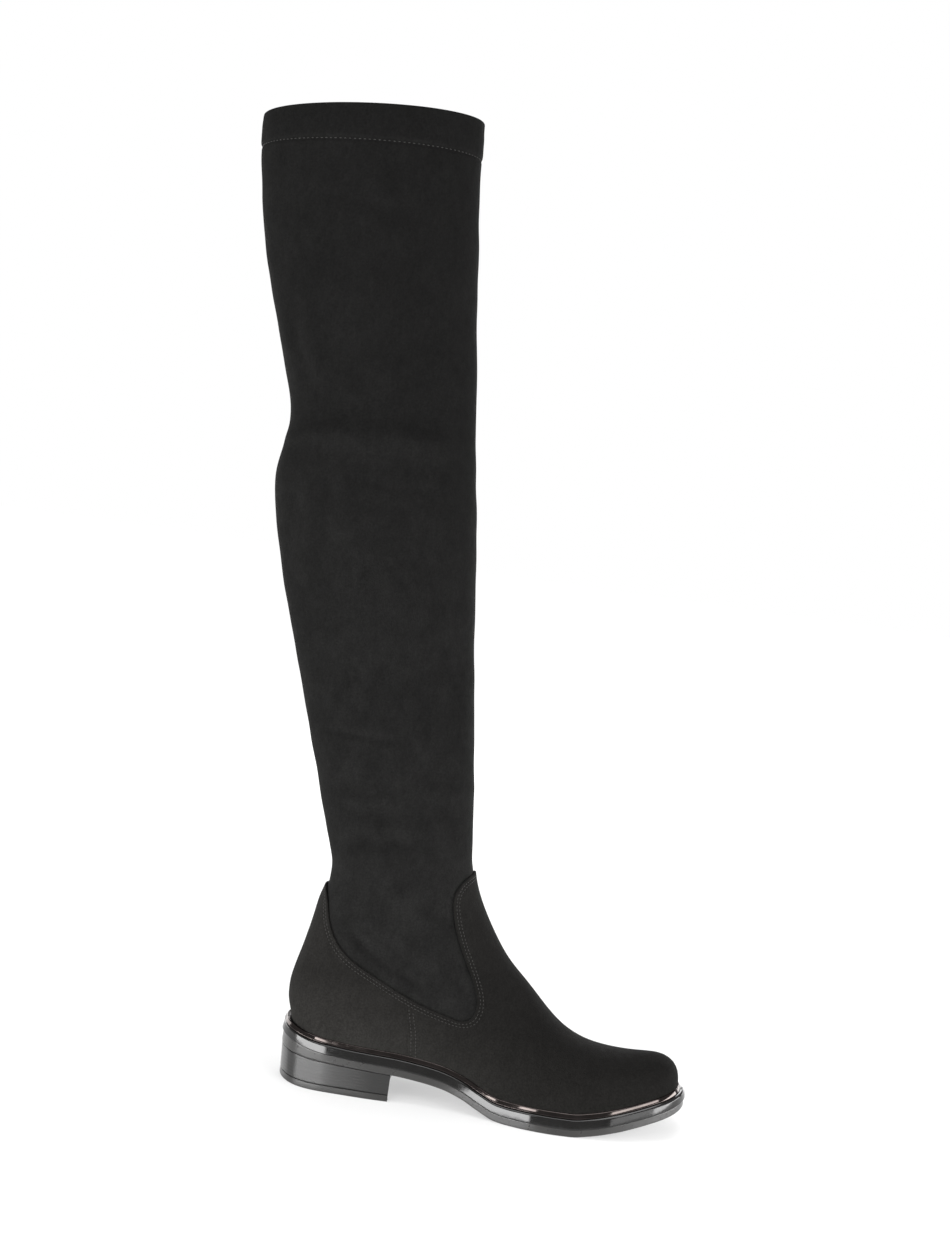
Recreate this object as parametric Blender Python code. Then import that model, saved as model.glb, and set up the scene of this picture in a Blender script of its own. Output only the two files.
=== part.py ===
"""Over-the-knee stretch boot, left foot, standing empty on its sole.

+X runs from heel to toe, +Y to the outer side of the foot, +Z up. The origin is on the ground
under the middle of the heel. Sizes are millimetres, and the tables count X from the heel's back.
"""

import math

import bpy
import numpy as np

MM = 0.001

# The heel's back stands this far behind the origin.
ORIGIN_X = 38.0

# Sole, from the ground up.
LIFT_THICK = 4.2
LIFT_GAP = 0.4
OUTSOLE_THICK = 4.7
MIDSOLE_THICK = 5.7
GAP = 0.3
INSOLE_THICK = 2.5
BREAST_X = 72.5
BREAST_HOLLOW = 2.0
HEEL_STATIONS = 12
HEEL_TAPER = 0.3

# Metal bead round the foot.
BEAD_RADIUS = 1.1
BEAD_FROM_UPPER = 3.3

# Leather.
UPPER_WALL = 1.3
HEM_WALL = 2.5
HEM_DEPTH = 20.0
OVERLAY_GAP = 0.35
OVERLAY_OUT = 1.8

# The foot's own sizes, taken on the upper where it meets the sole.
FOOT_BACK = 4.1
FOOT_LENGTH = 248.9
HEEL_ROUND = 29.0
TOE_ROUND = 29.0
SOLE_EDGE_BACK = 4.1
SOLE_EDGE_SIDE = 4.8
SOLE_EDGE_TOE = 6.8

# Facets round one loop.
AROUND = 52

# Underside of the outsole: distance from the heel's back, and height over the ground.
SOLE_LINE = (
    # along, height
    (-6.0, 21.2),
    (0.0, 20.7),
    (20.0, 19.3),
    (45.0, 18.3),
    (72.0, 17.2),
    (90.0, 15.3),
    (105.0, 12.9),
    (118.0, 9.1),
    (130.0, 4.0),
    (140.0, 0.6),
    (148.0, 0.0),
    (188.0, 0.0),
    (200.0, 1.6),
    (214.0, 4.6),
    (228.0, 8.1),
    (242.0, 11.9),
    (254.0, 15.3),
    (264.0, 18.2),
)

# Outline of the foot at the sole: share of the foot's length, half widths to each side.
FOOT_OUTLINE = (
    # share, inner, outer
    (0.06, 24.4, 24.8),
    (0.12, 27.4, 28.0),
    (0.22, 28.2, 30.2),
    (0.32, 27.0, 31.6),
    (0.42, 27.2, 34.0),
    (0.52, 32.4, 38.4),
    (0.62, 39.8, 43.4),
    (0.70, 41.8, 45.2),
    (0.78, 39.8, 43.6),
    (0.86, 34.4, 37.2),
    (0.93, 25.8, 27.4),
)

# One loop round the boot per row: its back and front points, half its width, how much of the
# foot's outline it keeps, and how much of the sole's arch it follows.
LOOPS = (
    # back_x, back_z, front_x, front_z, half_width, foot_share, sag
    (4.1, 31.4, 253.0, 26.3, 28.0, 1.00, 1.00),
    (3.7, 36.5, 252.6, 33.2, 28.2, 1.00, 1.00),
    (2.4, 41.6, 249.8, 39.8, 28.5, 1.00, 0.98),
    (1.2, 46.4, 242.6, 43.7, 29.0, 0.99, 0.95),
    (0.5, 51.0, 231.5, 43.4, 29.8, 0.97, 0.90),
    (0.3, 56.0, 219.5, 42.2, 30.6, 0.94, 0.84),
    (0.5, 61.2, 206.5, 42.5, 31.4, 0.90, 0.76),
    (1.5, 67.0, 192.5, 45.2, 32.2, 0.84, 0.66),
    (3.1, 74.0, 177.2, 52.6, 33.0, 0.76, 0.54),
    (5.0, 81.5, 163.2, 64.4, 33.7, 0.66, 0.41),
    (6.8, 89.5, 149.4, 78.2, 34.3, 0.54, 0.29),
    (8.5, 97.5, 136.1, 91.0, 34.8, 0.42, 0.18),
    (10.1, 106.5, 124.8, 106.0, 35.1, 0.30, 0.09),
    (12.1, 117.0, 115.2, 122.0, 35.2, 0.18, 0.03),
    (15.4, 129.5, 107.4, 140.0, 35.0, 0.08, 0.00),
    (14.6, 143.5, 103.9, 157.5, 34.8, 0.02, 0.00),
    (7.5, 165.1, 101.1, 178.2, 35.0, 0.00, 0.00),
    (-1.0, 193.4, 97.3, 207.2, 35.6, 0.00, 0.00),
    (-10.0, 221.7, 93.6, 236.3, 36.4, 0.00, 0.00),
    (-19.2, 249.9, 89.9, 265.3, 37.3, 0.00, 0.00),
    (-28.2, 278.3, 86.3, 294.3, 38.0, 0.00, 0.00),
    (-36.9, 306.6, 82.8, 323.4, 38.6, 0.00, 0.00),
    (-44.9, 335.0, 79.2, 352.4, 39.0, 0.00, 0.00),
    (-51.3, 362.0, 75.6, 380.0, 39.2, 0.00, 0.00),
    (-53.6, 382.0, 72.9, 400.0, 39.0, 0.00, 0.00),
    (-50.4, 402.0, 70.2, 418.0, 38.6, 0.00, 0.00),
    (-49.5, 420.0, 67.8, 435.5, 38.6, 0.00, 0.00),
    (-57.0, 450.0, 63.6, 466.0, 39.4, 0.00, 0.00),
    (-66.2, 480.0, 59.9, 496.0, 40.4, 0.00, 0.00),
    (-75.8, 510.0, 56.4, 526.0, 41.3, 0.00, 0.00),
    (-83.4, 542.0, 52.9, 557.0, 41.9, 0.00, 0.00),
    (-88.6, 575.0, 49.7, 589.0, 42.2, 0.00, 0.00),
    (-90.6, 603.4, 48.0, 616.4, 42.3, 0.00, 0.00),
)

# The rows of LOOPS that the upper is faceted through, closer where its outline bends.
UPPER_ROWS = (*range(17), 19, 22, 23, 24, 25, 26, 27, 29, 31)

# Lower edge of the opening in the overlay, from the back of the ankle down the heel, along the
# side and up the instep, on the inner and the outer side of the foot.
OPENING_EDGE = (
    # inner_x, inner_z, outer_x, outer_z
    (4.0, 126.5, 4.0, 126.5),
    (13.6, 124.7, 13.6, 126.3),
    (17.2, 119.5, 18.6, 121.0),
    (19.6, 110.3, 22.6, 111.0),
    (22.8, 101.5, 27.4, 101.0),
    (28.2, 93.4, 34.4, 92.0),
    (37.5, 85.4, 45.6, 83.2),
    (51.5, 78.3, 60.2, 74.4),
    (66.0, 71.4, 78.0, 66.2),
    (79.0, 65.6, 92.4, 60.8),
    (92.4, 61.0, 103.6, 57.8),
    (104.4, 57.6, 112.8, 56.8),
    (112.4, 56.7, 118.6, 58.4),
    (117.4, 58.6, 122.8, 62.8),
    (119.9, 63.6, 124.6, 70.0),
    (119.3, 72.5, 123.6, 78.6),
    (115.3, 82.3, 119.4, 88.8),
    (109.6, 93.0, 114.8, 98.2),
    (104.2, 103.7, 110.0, 108.6),
    (99.9, 114.3, 106.2, 118.6),
    (97.0, 124.9, 103.4, 128.0),
    (96.6, 134.0, 102.6, 136.8),
    (99.4, 140.4, 103.8, 142.2),
    (104.0, 144.8, 106.4, 145.6),
    (116.0, 150.0, 116.0, 150.0),
)


def column(table, index):
    """One column of a table as an array."""
    return np.array([row[index] for row in table], dtype=float)


def steady_curve(xs, ys):
    """Cubic through the points that never passes beyond them, so a level stretch stays level."""
    step = np.diff(xs)
    slope = np.diff(ys) / step
    tangent = np.zeros(len(xs))
    for i in range(1, len(xs) - 1):
        if slope[i - 1] * slope[i] > 0.0:
            near = 2.0 * step[i] + step[i - 1]
            far = step[i] + 2.0 * step[i - 1]
            tangent[i] = (near + far) / (near / slope[i - 1] + far / slope[i])
    tangent[0] = slope[0]
    tangent[-1] = slope[-1]

    def at(x):
        x = np.clip(x, xs[0], xs[-1])
        i = np.clip(np.searchsorted(xs, x, side="right") - 1, 0, len(xs) - 2)
        h = step[i]
        s = (x - xs[i]) / h
        start = (1.0 + 2.0 * s) * (1.0 - s) ** 2 * ys[i] + s * (1.0 - s) ** 2 * h * tangent[i]
        end = s * s * (3.0 - 2.0 * s) * ys[i + 1] + s * s * (s - 1.0) * h * tangent[i + 1]
        return start + end

    return at


def fair_curve(xs, ys):
    """Natural cubic spline through the points, with no jump in its bend."""
    count = len(xs)
    step = np.diff(xs)
    slope = np.diff(ys) / step
    matrix = np.zeros((count, count))
    right = np.zeros(count)
    matrix[0, 0] = 1.0
    matrix[-1, -1] = 1.0
    for i in range(1, count - 1):
        matrix[i, i - 1] = step[i - 1]
        matrix[i, i] = 2.0 * (step[i - 1] + step[i])
        matrix[i, i + 1] = step[i]
        right[i] = 6.0 * (slope[i] - slope[i - 1])
    bend = np.linalg.solve(matrix, right)

    def at(x):
        x = np.clip(x, xs[0], xs[-1])
        i = np.clip(np.searchsorted(xs, x, side="right") - 1, 0, count - 2)
        h = step[i]
        a = (xs[i + 1] - x) / h
        b = (x - xs[i]) / h
        lift = ((a**3 - a) * bend[i] + (b**3 - b) * bend[i + 1]) * h * h / 6.0
        return a * ys[i] + b * ys[i + 1] + lift

    return at


def ease(low, high, x):
    """Smooth step from 0 at low to 1 at high."""
    s = np.clip((x - low) / (high - low), 0.0, 1.0)
    return s * s * (3.0 - 2.0 * s)


sole_line = steady_curve(column(SOLE_LINE, 0), column(SOLE_LINE, 1))

OUTSOLE_TOP = OUTSOLE_THICK
MIDSOLE_BOTTOM = OUTSOLE_TOP + GAP
MIDSOLE_TOP = MIDSOLE_BOTTOM + MIDSOLE_THICK
UPPER_BOTTOM = MIDSOLE_TOP + GAP


# ---------------------------------------------------------------- the foot's outline


def fullness(side):
    """Half width over sqrt(share * (1 - share)), which is smooth right round both ends."""
    shares = column(FOOT_OUTLINE, 0)
    widths = column(FOOT_OUTLINE, side) / np.sqrt(shares * (1.0 - shares))
    heel = math.sqrt(2.0 * HEEL_ROUND * FOOT_LENGTH)
    toe = math.sqrt(2.0 * TOE_ROUND * FOOT_LENGTH)
    return fair_curve(np.r_[0.0, shares, 1.0], np.r_[heel, widths, toe])


inner_fullness = fullness(1)
outer_fullness = fullness(2)


def half_width(share, theta):
    """Signed half width of the foot at a share of its length: inner side for theta below pi."""
    full = np.where(theta <= math.pi, inner_fullness(share), outer_fullness(share))
    return full * np.sqrt(np.clip(share * (1.0 - share), 0.0, None))


def foot_outline(theta):
    """Points of the foot's outline, going round from the back by the inner side."""
    share = 0.5 * (1.0 - np.cos(theta))
    side = np.where(theta <= math.pi, -1.0, 1.0)
    return np.stack([FOOT_BACK + FOOT_LENGTH * share, side * half_width(share, theta)], axis=-1)


def offset_outline(theta, distance):
    """The foot's outline moved out by a distance, in the plane."""
    small = 1e-4
    ahead = foot_outline(np.mod(theta + small, 2.0 * math.pi))
    behind = foot_outline(np.mod(theta - small, 2.0 * math.pi))
    run = ahead - behind
    run = run / np.linalg.norm(run, axis=-1, keepdims=True)
    out = np.stack([run[..., 1], -run[..., 0]], axis=-1)
    return foot_outline(theta) + out * np.asarray(distance)[..., None]


def sole_edge(theta):
    """How far the sole reaches beyond the upper: least at the back, most at the toe."""
    share = 0.5 * (1.0 - np.cos(theta))
    back = 1.0 - ease(0.0, 0.12, share)
    toe = ease(0.72, 1.0, share)
    side = SOLE_EDGE_SIDE
    return side + (SOLE_EDGE_BACK - side) * back + (SOLE_EDGE_TOE - side) * toe


# ---------------------------------------------------------------- the upper's own function


def loop_levels():
    """A running height for the rows of LOOPS: the mean way up along back and front."""
    back = np.hypot(np.diff(column(LOOPS, 0)), np.diff(column(LOOPS, 1)))
    front = np.hypot(np.diff(column(LOOPS, 2)), np.diff(column(LOOPS, 3)))
    return np.r_[0.0, np.cumsum(0.5 * (back + front))]


LEVELS = loop_levels()
TOP_LEVEL = LEVELS[-1]
loop_parts = [fair_curve(LEVELS, column(LOOPS, i)) for i in range(7)]
fine_levels = np.linspace(0.0, TOP_LEVEL, 6000)
front_x = loop_parts[2](fine_levels)
front_z = loop_parts[3](fine_levels)


def front_height(x):
    """Height of the middle line over toe, vamp, instep and shin at a distance along."""
    return np.interp(x, front_x[::-1], front_z[::-1])


def form(theta, level):
    """Point on the upper's outer face."""
    bx, bz, fx, fz, girth, share, sag = [part(level) for part in loop_parts]
    along = 0.5 * (1.0 - np.cos(theta))
    x = bx + (fx - bx) * along
    low = bz - sag * sole_line(bx)
    high = fz - sag * sole_line(fx)
    z = sag * sole_line(x) + low + (high - low) * along
    from_back = (x - bx) / FOOT_LENGTH
    from_heel = (x - FOOT_BACK) / FOOT_LENGTH
    station = np.clip(from_back + (from_heel - from_back) * along, 0.0, 1.0)
    base = sole_line(x) + UPPER_BOTTOM
    rise = np.clip((z - base) / np.maximum(front_height(x) - base, 0.5), 0.0, 1.0)
    power = 1.75 + 0.6 * ease(130.0, 205.0, x)
    arch = np.sqrt(np.clip(1.0 - rise**power, 0.0, 1.0))
    arch = np.where(np.abs(np.sin(theta)) < 1e-6, 0.0, arch)
    foot = half_width(station, theta) * arch
    leg = girth * np.abs(np.sin(theta))
    y = share * foot + (1.0 - share) * leg
    y = np.where(np.abs(np.sin(theta)) < 1e-6, 0.0, y)
    side = np.where(theta <= math.pi, -1.0, 1.0)
    return np.stack([x, side * y, z], axis=-1)


def normals(theta, level):
    """Outward normals of the form, level at its lower edge."""
    small = 2e-3
    step = 0.3
    around = form(np.mod(theta + small, 2.0 * math.pi), level)
    around = around - form(np.mod(theta - small, 2.0 * math.pi), level)
    up = form(theta, np.clip(level + step, 0.0, TOP_LEVEL))
    up = up - form(theta, np.clip(level - step, 0.0, TOP_LEVEL))
    out = np.cross(around, up)
    middle = np.abs(np.sin(theta)) < 1e-6
    out[..., 1] = np.where(middle, 0.0, out[..., 1])
    out[..., 2] *= ease(0.0, 8.0, level)
    return out / np.linalg.norm(out, axis=-1, keepdims=True)


def form_offset(theta, level, distance):
    """The form moved out along its normals, its lower edge kept on the sole's line."""
    start = form(theta, level)
    moved = start + normals(theta, level) * np.asarray(distance)[..., None]
    rise = sole_line(moved[..., 0]) - sole_line(start[..., 0])
    moved[..., 2] += rise * (1.0 - ease(0.0, 8.0, level))
    return moved


# ---------------------------------------------------------------- meshes


def make_object(name, points, faces, collection):
    """Mesh object from points in millimetres, X counted from the heel's back."""
    placed = (np.asarray(points) - (ORIGIN_X, 0.0, 0.0)) * MM
    mesh = bpy.data.meshes.new(name)
    mesh.from_pydata([tuple(point) for point in placed], [], faces)
    mesh.validate()
    obj = bpy.data.objects.new(name, mesh)
    collection.objects.link(obj)
    return obj


def loop_grid(rows, turn_from=None):
    """Triangles between closed loops of equal count, each row one loop, seen from outside.

    From row turn_from on, the rows run back down the inside, and their diagonals lean the other
    way, so that inside and outside stay parallel.
    """
    faces = []
    for j in range(len(rows) - 1):
        low = rows[j]
        high = rows[j + 1]
        count = len(low)
        turned = turn_from is not None and j >= turn_from
        for i in range(count):
            k = (i + 1) % count
            if turned:
                faces.append((low[i], low[k], high[i]))
                faces.append((low[k], high[k], high[i]))
            else:
                faces.append((low[i], low[k], high[k]))
                faces.append((low[i], high[k], high[i]))
    return faces


def closed_loops(loops, turn_from=None):
    """Points and faces of a solid whose section is the ring of loops, last joined to first."""
    count = len(loops[0])
    points = np.concatenate(loops)
    rows = [list(range(j * count, (j + 1) * count)) for j in range(len(loops))]
    return points, loop_grid(rows + [rows[0]], turn_from)


def cap_strips(row, turned):
    """Cap across a loop that runs from the back by the inner side, as strips between sides."""
    count = len(row)
    faces = []
    for i in range(count // 2):
        a = row[i]
        b = row[i + 1]
        c = row[(count - i - 1) % count]
        d = row[(count - i) % count]
        face = [p for n, p in enumerate((a, b, c, d)) if p not in (a, b, c, d)[:n]]
        faces.append(tuple(reversed(face)) if turned else tuple(face))
    return faces


def slab(loops):
    """Points and faces of a slab: loops from the bottom up, capped at both ends."""
    count = len(loops[0])
    points = np.concatenate(loops)
    rows = [list(range(j * count, (j + 1) * count)) for j in range(len(loops))]
    faces = loop_grid(rows)
    faces += cap_strips(rows[0], True)
    faces += cap_strips(rows[-1], False)
    return points, faces


THETA = np.linspace(0.0, 2.0 * math.pi, AROUND, endpoint=False)


def level_loop(distance, height):
    """Loop at a distance out from the foot's outline and a height over the sole's line."""
    flat = offset_outline(THETA, distance)
    return np.column_stack([flat, sole_line(flat[:, 0]) + height])


def sole_slab(edges):
    """Slab from (distance beyond the sole's edge, height over the sole's line) pairs."""
    return slab([level_loop(sole_edge(THETA) + out, height) for out, height in edges])


# ---------------------------------------------------------------- the pieces


def outsole(collection):
    edges = (
        (-1.1, 0.0),
        (-0.3, 0.8),
        (-0.1, OUTSOLE_TOP - 0.6),
        (-0.8, OUTSOLE_TOP),
    )
    return make_object("outsole", *sole_slab(edges), collection)


def midsole(collection):
    low = MIDSOLE_BOTTOM
    high = MIDSOLE_TOP
    edges = (
        (-1.2, low),
        (-0.2, low + 0.9),
        (0.2, low + 2.6),
        (-0.1, high - 1.3),
        (-0.9, high - 0.3),
        (-1.7, high),
    )
    return make_object("midsole", *sole_slab(edges), collection)


def metal_bead(collection):
    """A round bead that follows the foot's outline on the midsole's edge."""
    loops = []
    for k in range(6):
        turn = 2.0 * math.pi * k / 6.0
        out = BEAD_FROM_UPPER + BEAD_RADIUS * math.sin(turn)
        height = UPPER_BOTTOM + 0.05 + BEAD_RADIUS - BEAD_RADIUS * math.cos(turn)
        loops.append(level_loop(np.full(AROUND, out), height))
    return make_object("metal_bead", *closed_loops(loops), collection)


def insole(collection):
    out = -UPPER_WALL - 0.9
    low = UPPER_BOTTOM + 0.15
    high = low + INSOLE_THICK
    loops = [
        level_loop(np.full(AROUND, out - 0.3), low),
        level_loop(np.full(AROUND, out), low + 0.6),
        level_loop(np.full(AROUND, out - 0.6), high),
    ]
    return make_object("insole", *slab(loops), collection)


def heel_loop(inset, height):
    """The sole's outline behind the heel breast, closed by the breast's shallow hollow."""
    fine = np.linspace(0.0, 2.0 * math.pi, 721)
    edge = offset_outline(fine, sole_edge(fine) - inset)
    inner = edge[:361]
    outer = edge[:359:-1]
    xs = edge[0, 0] + (BREAST_X - edge[0, 0]) * np.linspace(0.0, 1.0, HEEL_STATIONS) ** 1.6
    inner_y = np.interp(xs, inner[:, 0], inner[:, 1])
    outer_y = np.interp(xs, outer[:, 0], outer[:, 1])
    inner_y[0] = 0.0
    outer_y[0] = 0.0
    across = np.linspace(inner_y[-1], outer_y[-1], 6)[1:-1]
    middle = 0.5 * (inner_y[-1] + outer_y[-1])
    reach = 0.5 * (outer_y[-1] - inner_y[-1])
    hollow = BREAST_X - BREAST_HOLLOW * (1.0 - ((across - middle) / reach) ** 2)
    flat = np.vstack(
        [
            np.column_stack([xs, inner_y]),
            np.column_stack([hollow, across]),
            np.column_stack([xs, outer_y])[:0:-1],
        ]
    )
    height = np.broadcast_to(height(flat[:, 0]) if callable(height) else height, len(flat))
    return np.column_stack([flat, height])


def heel_cap(row):
    """Cap across a heel loop: strips between the sides, then one face along the breast."""
    last = HEEL_STATIONS - 1
    faces = [(row[0], row[1], row[-1])]
    for i in range(1, last - 1):
        faces.append((row[i], row[i + 1], row[-i - 1], row[-i]))
    faces.append(tuple(row[last - 1 : len(row) - last + 2]))
    return faces


def heel_slab(name, levels, collection):
    """Solid through heel loops, capped at both ends."""
    loops = [heel_loop(inset, height) for inset, height in levels]
    count = len(loops[0])
    rows = [list(range(j * count, (j + 1) * count)) for j in range(len(loops))]
    faces = loop_grid(rows)
    faces += [tuple(reversed(face)) for face in heel_cap(rows[0])]
    faces += heel_cap(rows[-1])
    return make_object(name, np.concatenate(loops), faces, collection)


def heel_block(collection):
    low = LIFT_THICK + LIFT_GAP

    def under_outsole(x):
        return sole_line(x) - GAP

    levels = (
        (HEEL_TAPER + 0.6, low),
        (HEEL_TAPER, low + 0.6),
        (0.3, under_outsole),
    )
    return heel_slab("heel_block", levels, collection)


def top_lift(collection):
    levels = (
        (HEEL_TAPER + 0.6, 0.0),
        (HEEL_TAPER, 0.6),
        (HEEL_TAPER, LIFT_THICK - 0.5),
        (HEEL_TAPER + 0.6, LIFT_THICK),
    )
    return heel_slab("top_lift", levels, collection)


def upper(collection):
    """Hollow stretch upper from the sole to the collar, with the hem turned in at the top."""
    hem_low = TOP_LEVEL - HEM_DEPTH
    levels = [LEVELS[i] for i in UPPER_ROWS] + [hem_low - 1.0, hem_low + 1.0]
    levels += [TOP_LEVEL - 0.8, TOP_LEVEL]
    outer = []
    inner = []
    for v in levels:
        level = np.full(AROUND, v)
        wall = HEM_WALL if v > hem_low else UPPER_WALL
        trim = 0.5 if v == TOP_LEVEL else 0.0
        outer.append(form_offset(THETA, level, np.full(AROUND, -trim)))
        inner.append(form_offset(THETA, level, np.full(AROUND, trim - wall)))
    solid = closed_loops(outer + inner[::-1], len(outer))
    return make_object("upper", *solid, collection)


def shell_between(near, far):
    """Loops of a ring-shaped solid between two offsets of the form, foot and ankle only."""
    levels = list(LEVELS[:16])
    outer = [form_offset(THETA, np.full(AROUND, v), np.full(AROUND, far)) for v in levels]
    inner = [form_offset(THETA, np.full(AROUND, v), np.full(AROUND, near)) for v in levels]
    return closed_loops(outer + inner[::-1], len(outer))


def opening_cutter(collection):
    """Body that takes away all above the opening's edge, one edge for each side."""
    inner = np.column_stack([column(OPENING_EDGE, 0), column(OPENING_EDGE, 1)])
    outer = np.column_stack([column(OPENING_EDGE, 2), column(OPENING_EDGE, 3)])
    lid = np.array([(150.0, 150.0), (150.0, 230.0), (-40.0, 230.0), (-40.0, 126.5)])
    sections = []
    for y, edge in ((-80.0, inner), (-9.0, inner), (9.0, outer), (80.0, outer)):
        flat = np.vstack([edge, lid])
        sections.append(np.column_stack([flat[:, 0], np.full(len(flat), y), flat[:, 1]]))
    count = len(sections[0])
    rows = [list(range(j * count, (j + 1) * count)) for j in range(len(sections))]
    faces = [tuple(reversed(face)) for face in loop_grid(rows)]
    faces.append(tuple(rows[0]))
    faces.append(tuple(reversed(rows[-1])))
    cutter = make_object("opening_cutter", np.concatenate(sections), faces, collection)
    cutter.hide_render = True
    cutter.display_type = "WIRE"
    return cutter


def foot_overlay(collection, cutters):
    """Proud layer round the foot, cut open on both sides for the stretch leather."""
    overlay = make_object("foot_overlay", *shell_between(OVERLAY_GAP, OVERLAY_OUT), collection)
    cut = overlay.modifiers.new("opening", "BOOLEAN")
    cut.operation = "DIFFERENCE"
    cut.solver = "EXACT"
    cut.object = opening_cutter(cutters)
    return overlay


MATERIALS = {
    # name: (colour, metallic, roughness)
    "outsole": ((0.060, 0.058, 0.058), 0.0, 0.45),
    "midsole": ((0.008, 0.008, 0.008), 0.0, 0.12),
    "metal_bead": ((0.300, 0.235, 0.200), 1.0, 0.25),
    "insole": ((0.050, 0.045, 0.042), 0.0, 0.80),
    "heel_block": ((0.030, 0.028, 0.028), 0.0, 0.35),
    "top_lift": ((0.020, 0.020, 0.020), 0.0, 0.50),
    "upper": ((0.018, 0.016, 0.017), 0.0, 0.95),
    "foot_overlay": ((0.020, 0.018, 0.018), 0.0, 0.95),
}


def principled(name):
    """The piece's own Principled material."""
    colour, metallic, roughness = MATERIALS[name]
    material = bpy.data.materials.new(name)
    material.use_nodes = True
    shader = material.node_tree.nodes["Principled BSDF"]
    shader.inputs["Base Color"].default_value = (*colour, 1.0)
    shader.inputs["Metallic"].default_value = metallic
    shader.inputs["Roughness"].default_value = roughness
    return material


def main():
    for obj in list(bpy.data.objects):
        bpy.data.objects.remove(obj, do_unlink=True)
    boot = bpy.data.collections.new("over_the_knee_boot")
    cutters = bpy.data.collections.new("cutters")
    bpy.context.scene.collection.children.link(boot)
    bpy.context.scene.collection.children.link(cutters)
    pieces = [
        top_lift(boot),
        heel_block(boot),
        outsole(boot),
        midsole(boot),
        metal_bead(boot),
        insole(boot),
        upper(boot),
        foot_overlay(boot, cutters),
    ]
    for piece in pieces:
        piece.data.materials.append(principled(piece.name))


main()
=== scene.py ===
"""Visual model of the over-the-knee stretch boot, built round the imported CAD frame.

Sizes are millimetres, with X counted from the heel's back, as in the CAD. Materials and the studio
are in metres. The frame has +X from heel to toe, +Y to the outer side of the left foot and +Z up.
"""

import math

import bpy
import numpy as np
from mathutils import Matrix, Vector, noise


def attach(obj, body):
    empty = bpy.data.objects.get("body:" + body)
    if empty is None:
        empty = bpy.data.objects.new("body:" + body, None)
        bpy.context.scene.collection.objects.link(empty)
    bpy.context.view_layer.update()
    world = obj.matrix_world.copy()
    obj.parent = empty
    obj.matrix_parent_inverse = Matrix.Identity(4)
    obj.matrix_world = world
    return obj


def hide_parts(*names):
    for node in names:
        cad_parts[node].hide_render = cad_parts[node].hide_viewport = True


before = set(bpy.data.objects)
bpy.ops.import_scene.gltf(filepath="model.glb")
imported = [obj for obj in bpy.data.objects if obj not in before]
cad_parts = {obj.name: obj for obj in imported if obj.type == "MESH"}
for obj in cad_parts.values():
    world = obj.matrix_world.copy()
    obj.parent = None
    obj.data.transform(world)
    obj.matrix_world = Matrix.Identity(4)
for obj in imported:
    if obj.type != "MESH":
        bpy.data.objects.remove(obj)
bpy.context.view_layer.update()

MM = 0.001
TURN = 2 * math.pi
ORIGIN_X = 38

# ---- sizes shared with the CAD

LIFT_THICK = 4.2
LIFT_GAP = 0.4
OUTSOLE_THICK = 4.7
MIDSOLE_THICK = 5.7
GAP = 0.3
BREAST_X = 72.5
BREAST_HOLLOW = 2
HEEL_TAPER = 0.3
BEAD_FROM_UPPER = 3.3
UPPER_WALL = 1.3
HEM_WALL = 2.5
HEM_DEPTH = 20
OVERLAY_GAP = 0.35
OVERLAY_OUT = 1.8
FOOT_BACK = 4.1
FOOT_LENGTH = 248.9
HEEL_ROUND = 29
TOE_ROUND = 29
SOLE_EDGE_BACK = 5.7
SOLE_EDGE_SIDE = 4.8
SOLE_EDGE_TOE = 6.8
MIDSOLE_BOTTOM = OUTSOLE_THICK + GAP
MIDSOLE_TOP = MIDSOLE_BOTTOM + MIDSOLE_THICK
UPPER_BOTTOM = MIDSOLE_TOP + GAP

# Underside of the outsole: distance from the heel's back, and height over the ground.
SOLE_LINE = (
    (-6, 21.2), (0, 20.7), (20, 19.3), (45, 18.3), (72, 17.2), (90, 15.3), (105, 12.9), (118, 9.1),
    (130, 4), (140, 0.6), (148, 0), (188, 0), (200, 1.6), (214, 4.6), (228, 8.1), (242, 11.9),
    (254, 15.3), (264, 18.2),
)

# Extra height of the sole's layers towards the heel's back and the toe's tip.
END_RISE = (
    (-8, 4.2), (0, 3.4), (7, 2.6), (16, 1.6), (30, 0.5), (48, 0), (226, 0), (263, 0.6),
)

# The extra height fades up the leg over RISE_FADES, and down the outsole behind HEEL_END.
RISE_FADES = 35
HEEL_END = 100

# Outline of the foot at the sole: share of the foot's length, half width to the inner side and
# half width to the outer side.
FOOT_OUTLINE = (
    (0.06, 24.4, 24.8), (0.12, 27.4, 28), (0.22, 28.2, 30.2), (0.32, 27, 31.6), (0.42, 27.2, 34),
    (0.52, 32.4, 38.4), (0.62, 39.8, 43.4), (0.7, 41.8, 45.2), (0.78, 39.8, 43.6),
    (0.86, 34.4, 37.2), (0.93, 25.8, 27.4),
)

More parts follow.
